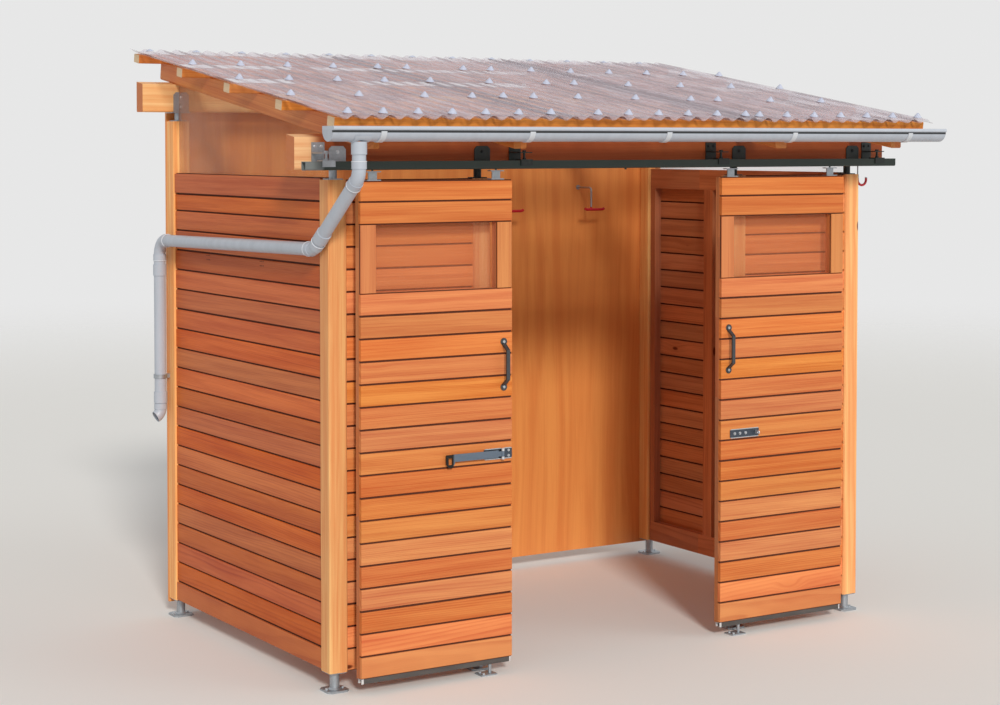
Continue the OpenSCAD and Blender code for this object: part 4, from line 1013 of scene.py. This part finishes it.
class SHELTER_OT_screws(bpy.types.Operator):
    """Bolts of the feet, guides and brackets, screws of handles and lock plates, and nails in the left wall"""
    bl_idname = "shelter.screws"
    bl_label = "Screws and bolts"

    def execute(self, context):
        bright = zinc("screw_zinc", tuple(context.scene.shelter_metals.steel), 0.22, 0.9)
        # The dark bolts on the front and track brackets are painted shade on zinc.
        bolt_shade_dark = zinc("bolt_black", srgb(52, 56, 58), 0.4, 0.6)
        nail = zinc("nail_dark", srgb(74, 46, 34), 0.5, 0.4)
        tree = Shape("fixing", Places=("Geometry", None), Radius=("Float", 0.006), Height=("Float", 0.005),
                     Sides=("Int", 6), Finish=("Material", None))
        radius, height = tree.read("Radius"), tree.read("Height")
        washer = tree.shape("MeshCylinder", Vertices=16, Radius=radius * 1.35, Depth=height * 0.5)
        head = tree.shape("MeshCone", {"fill_type": "NGON"}, Vertices=tree.read("Sides"), Radius_Top=radius * 0.86,
                          Radius_Bottom=radius, Depth=height)
        tree.spread(tree.shape("JoinGeometry", Geometry=[washer, head]), Rotation=tree.facing())

        def fix(name, spots, facing, radius, height, finish, body="shelter", sides=6):
            spots = list(spots)
            mesh = tree.mesh(name, facing_places(name, spots, [facing] * len(spots)), Radius=radius, Height=height,
                             Sides=sides, Finish=finish)
            piece(name, mesh, "galvanised", body=body)

        left, right = 0.040, 2.690
        posts = [*product((left, 0.701, 2.029, right), (0.040,)), (left, 1.560), (right, 1.560)]
        fix("foot_bolts", [(x + dx, y, 0.008) for x, y in posts for dx in (-0.0355, 0.0355)], UP, 0.0062, 0.007, bright)
        fix("guide_bolts", product((0.654, 1.941), (-0.084, -0.054), (0.006,)), UP, 0.006, 0.006, bright)
        bolt_face, low_high, rear_low_high, clamp_z = (0.001,), (2.076, 2.122), (2.318, 2.362), 2.144
        for name, spots, finish in (
                ("front", product((0.701, 2.029, right), bolt_face, low_high), bolt_shade_dark),
                ("left", product((left,), bolt_face, low_high), bright),
                ("rear", product((left, right), (1.521,), rear_low_high), bright)):
            fix(f"head_bracket_bolts_{name}", spots, AHEAD, 0.006, 0.006, finish)
        for name, middles, finish in (("track_bracket_bolts", (0.858, 1.872, 2.774), bolt_shade_dark),
                                      ("track_bracket_bolts_left", (-0.044,), bright)):
            fix(name, [(x + dx, *bolt_face, clamp_z) for x in middles for dx in (-0.014, 0.014)], AHEAD, 0.005, 0.005,
                finish)
        wall_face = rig.box("side_boards_left")[0].x - ORIGIN.x + 0.004
        nails = [(wall_face, y + dy, z) for y in (0.62, 1.16) for z in (1.648, 1.666) for dy in (-0.014, 0.0, 0.014)]
        fix("wall_nails", nails, OUT_LEFT, 0.0022, 0.0006, nail)
        for side, x in zip(SIDES, (0.746, 1.902)):
            fix(f"{side}_handle_screws", product((x,), (-0.094,), (1.170, 1.354)), AHEAD, 0.0045, 0.003, bright,
                f"{side}_door", 12)
        plate_y = -0.093
        left_spots = [(0.712, plate_y, 0.901), (0.768, plate_y, 0.890), (0.768, plate_y, 0.912)]
        fix("left_lock_screw", left_spots, AHEAD, 0.0042, 0.003, bright, "left_door", 12)
        right_spots = product((1.936, 1.965, 1.997), (plate_y,), (0.889,))
        fix("right_lock_screws", right_spots, AHEAD, 0.0050, 0.004, bright, "right_door", 12)
        return {"FINISHED"}


# ---------------------------------------------------------------- finishes of the frame's own nodes

class SHELTER_OT_timbers(bpy.types.Operator):
    """Glaze on posts, beams, rafters, purlins, battens and door frames"""
    bl_idname = "shelter.timbers"
    bl_label = "Timber finishes"

    def execute(self, context):
        colours = context.scene.shelter_timber
        for number, place in enumerate(("front_left", "front_right", "jamb_left", "jamb_right", "rear_left",
                                        "rear_right")):
            paint(timber(f"post_{place}_glaze", "Z", "post", colours, knots=1.4, streak=0.85, ring_depth=0.75,
                         seed=11.0 + 2.7 * number), f"post_{place}")
        # The front beam is darker past its outer left end: a painted shadow under the roof.
        for node, painted_shadow_from, seed in (("beam_front", at(-0.09, 0, 0).x, 31.0), ("beam_rear", None, 31.0 + 4.3)):
            paint(timber(f"{node}_glaze", "X", "beam", colours, knots=0.7, end=tuple(colours.beam_end),
                         painted_shadow_from=painted_shadow_from, seed=seed), node)
        paint(timber("rafter_glaze", "slope", "rafter", colours, cell=(0.66, 0, 0), seed=2.0), "rafters")
        paint(timber("purlin_glaze", "X", "rafter", colours, cell=(0, 0.486, 0), seed=4.0,
                     end=tuple(colours.purlin_end)), "purlins")
        paint(timber("batten_glaze", "frame", "inner", colours, cell=(1.3, 0.45, 0), seed=5.0), "battens")
        for side in SIDES:
            paint(timber(f"{side}_door_frame_glaze", "Z", "inner", colours, cell=(0.3, 0, 0.35), seed=8.0),
                  f"{side}_door_frame")
        paint(plywood("back_wall_glaze", *colours.pair("panel")), "back_panels")
        return {"FINISHED"}


class SHELTER_OT_fittings(bpy.types.Operator):
    """Finishes of gutter, pipe, track, hangers, lock, handles, hooks, feet and panes"""
    bl_idname = "shelter.fittings"
    bl_label = "Fitting finishes"

    def execute(self, context):
        colours = context.scene.shelter_metals
        grey = tuple(colours.grey)
        first_bay, rear_half, _ = at(0.30, 0.80, 0)
        painted_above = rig.box("left_door_hangers")[0].z + 0.039
        paint(zinc("zinc_coat", tuple(colours.zinc)), "post_feet", "floor_guides", "pipe_clip")
        for side in SIDES:
            node = f"{side}_door_channel"
            paint(channel_zinc(f"{side}_channel_zinc", node), node)
            clear = clear_pane(f"{side}_door_pane_clear", srgb(214, 128, 88), rib_pitch=0.012, haze=0.20)
            paint(clear, f"{side}_door_pane")
        # Past the first bay at the front, the brackets' dark green is painted shade on their zinc.
        paint(part_painted("bracket_coat", colours, lambda x, y, z: (x < first_bay).sum("MAXIMUM", y > rear_half)),
              "head_brackets", "track_brackets")
        paint(part_painted("hanger_coat", colours, lambda x, y, z: z < painted_above),
              "left_door_hangers", "right_door_hangers")
        paint(lock_plate("lock_plate_left", "left_door_hasp", at(0.727, 0, 0).x), "left_door_hasp")
        paint(lock_plate("lock_plate_right", "right_door_staple", at(2.040, 0, 0).x), "right_door_staple")
        paint(bar_steel("locking_bar_steel"), "locking_bar")
        paint(track_paint("track_green", tuple(colours.green)), "track", "track_stops")
        dull = zinc("dull_steel", srgb(84, 88, 92), roughness=0.34, metal=0.80)
        paint(dull, "left_door_handle", "right_door_handle")
        paint(gutter_plastic("gutter_beaded", grey, bead=True), "gutter", "gutter_caps")
        paint(gutter_plastic("gutter_grey", grey),
              "gutter_outlet", "pipe_drop", "pipe_run", "pipe_down", "pipe_shoe")
        paint(gutter_plastic("strap_grey", srgb(206, 211, 218)), "gutter_brackets")
        paint(clear_pane("side_pane", srgb(214, 160, 130), rib_pitch=0.010, haze=0.10, far_haze=0.34), "side_panes")
        paint(hook_coat("bike_hook_coat", colours, top=1.832), "bike_hooks")
        paint(hook_coat("outer_hook_coat", colours, top=1.995), "outer_hook")
        return {"FINISHED"}


# ---------------------------------------------------------------- stage

class SHELTER_OT_stage(bpy.types.Operator):
    """Floor, lamps and camera"""
    bl_idname = "shelter.stage"
    bl_label = "Stage"

    def execute(self, context):
        scene, stage = context.scene, context.scene.shelter_stage
        mesh = bpy.data.meshes.new("floor")
        net = bmesh.new()
        bmesh.ops.create_circle(net, cap_ends=True, segments=96, radius=24)
        net.to_mesh(mesh)
        net.free()
        floor = bpy.data.objects.new("floor", mesh)
        scene.collection.objects.link(floor)
        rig.stage(floor)
        finish = Finish("floor_card")
        x, y, _ = finish.split(finish.position)
        far = finish.math("SQRT", x * x + y * y).ramp(7.0, 20.0)
        finish.surface(Base_Color=tuple(stage.floor), Roughness=0.9, Alpha=1 - far)
        mesh.materials.append(finish.material)

        world = bpy.data.worlds.new("room")
        scene.world = world
        world.use_nodes = True
        room = Nodes(world.node_tree)
        room.tree.nodes.clear()
        path = room.add("ShaderNodeLightPath")
        seen = room.math("MAXIMUM", path["Is Camera Ray"], path["Is Glossy Ray"])
        backdrop = 0.80
        background = room.add("ShaderNodeBackground", Color=(1, 1, 1),
                              Strength=seen * (backdrop - stage.fill) + stage.fill)
        room.add("ShaderNodeOutputWorld", Surface=background["Background"])

        def lamp(name, strength, spread, direction, colour):
            data = bpy.data.lights.new(name, "SUN")
            data.energy, data.angle, data.color = strength, math.radians(spread), colour
            made = bpy.data.objects.new(name, data)
            made.rotation_euler = Vector(direction).to_track_quat("-Z", "Y").to_euler()
            scene.collection.objects.link(made)

        lamp("key_lamp", stage.key, 9, (0.30, 0.84, -0.46), (1.0, 0.965, 0.91))
        lamp("side_lamp", stage.key * 0.12, 30, (-0.6, 0.6, -0.5), (1.0, 0.98, 0.95))

        camera = bpy.data.cameras.new("camera")
        camera.lens, camera.sensor_width = 73.06, 36
        camera.shift_x, camera.shift_y = 0.0013, -0.1294
        holder = bpy.data.objects.new("camera", camera)
        holder.location = at(-3.614, -7.019, 2.156)
        holder.rotation_euler = (math.radians(87.745), 0, math.radians(-32.04))
        scene.collection.objects.link(holder)
        scene.camera = holder
        scene.view_settings.view_transform = "Standard"
        return {"FINISHED"}


class SHELTER_PT_panel(bpy.types.Panel):
    """Lists the steps that build the shelter"""
    bl_idname = "SHELTER_PT_panel"
    bl_label = "Bike shelter"
    bl_space_type = "VIEW_3D"
    bl_region_type = "UI"
    bl_category = "Shelter"

    def draw(self, context):
        for step in STEPS:
            self.layout.operator(step.bl_idname)
        for group in GROUPS:
            box = self.layout.box()
            settings = getattr(context.scene, group)
            for name in GROUPS[group].__annotations__:
                box.prop(settings, name)


STEPS = [SHELTER_OT_stage, SHELTER_OT_side_walls, SHELTER_OT_front_walls, SHELTER_OT_door_boards, SHELTER_OT_roof,
         SHELTER_OT_roof_caps, SHELTER_OT_pipe_rings, SHELTER_OT_screws, SHELTER_OT_timbers, SHELTER_OT_fittings]
GROUPS = {"shelter_boards": BoardSizes, "shelter_roof": RoofSizes, "shelter_timber": TimberColours,
          "shelter_metals": FittingColours, "shelter_stage": StageSettings}


def register():
    for group in GROUPS.values():
        bpy.utils.register_class(group)
    for name, group in GROUPS.items():
        setattr(bpy.types.Scene, name, PointerProperty(type=group))
    for step in STEPS:
        bpy.utils.register_class(step)
    bpy.utils.register_class(SHELTER_PT_panel)


def unregister():
    bpy.utils.unregister_class(SHELTER_PT_panel)
    for step in reversed(STEPS):
        bpy.utils.unregister_class(step)
    for name in GROUPS:
        delattr(bpy.types.Scene, name)
    for group in reversed(GROUPS.values()):
        bpy.utils.unregister_class(group)


def main():
    """Registers the classes, runs every step in order and writes the two boxes."""
    register()
    for step in STEPS:
        family, action = step.bl_idname.split(".")
        getattr(getattr(bpy.ops, family), action)()
    boxes = {"cad": CAD_BOX, "visual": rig.bounds()}
    with open(SIZE_FILE, "w") as file:
        json.dump({name: [list(corner) for corner in box] for name, box in boxes.items()}, file)


if __name__ == "__main__":
    main()
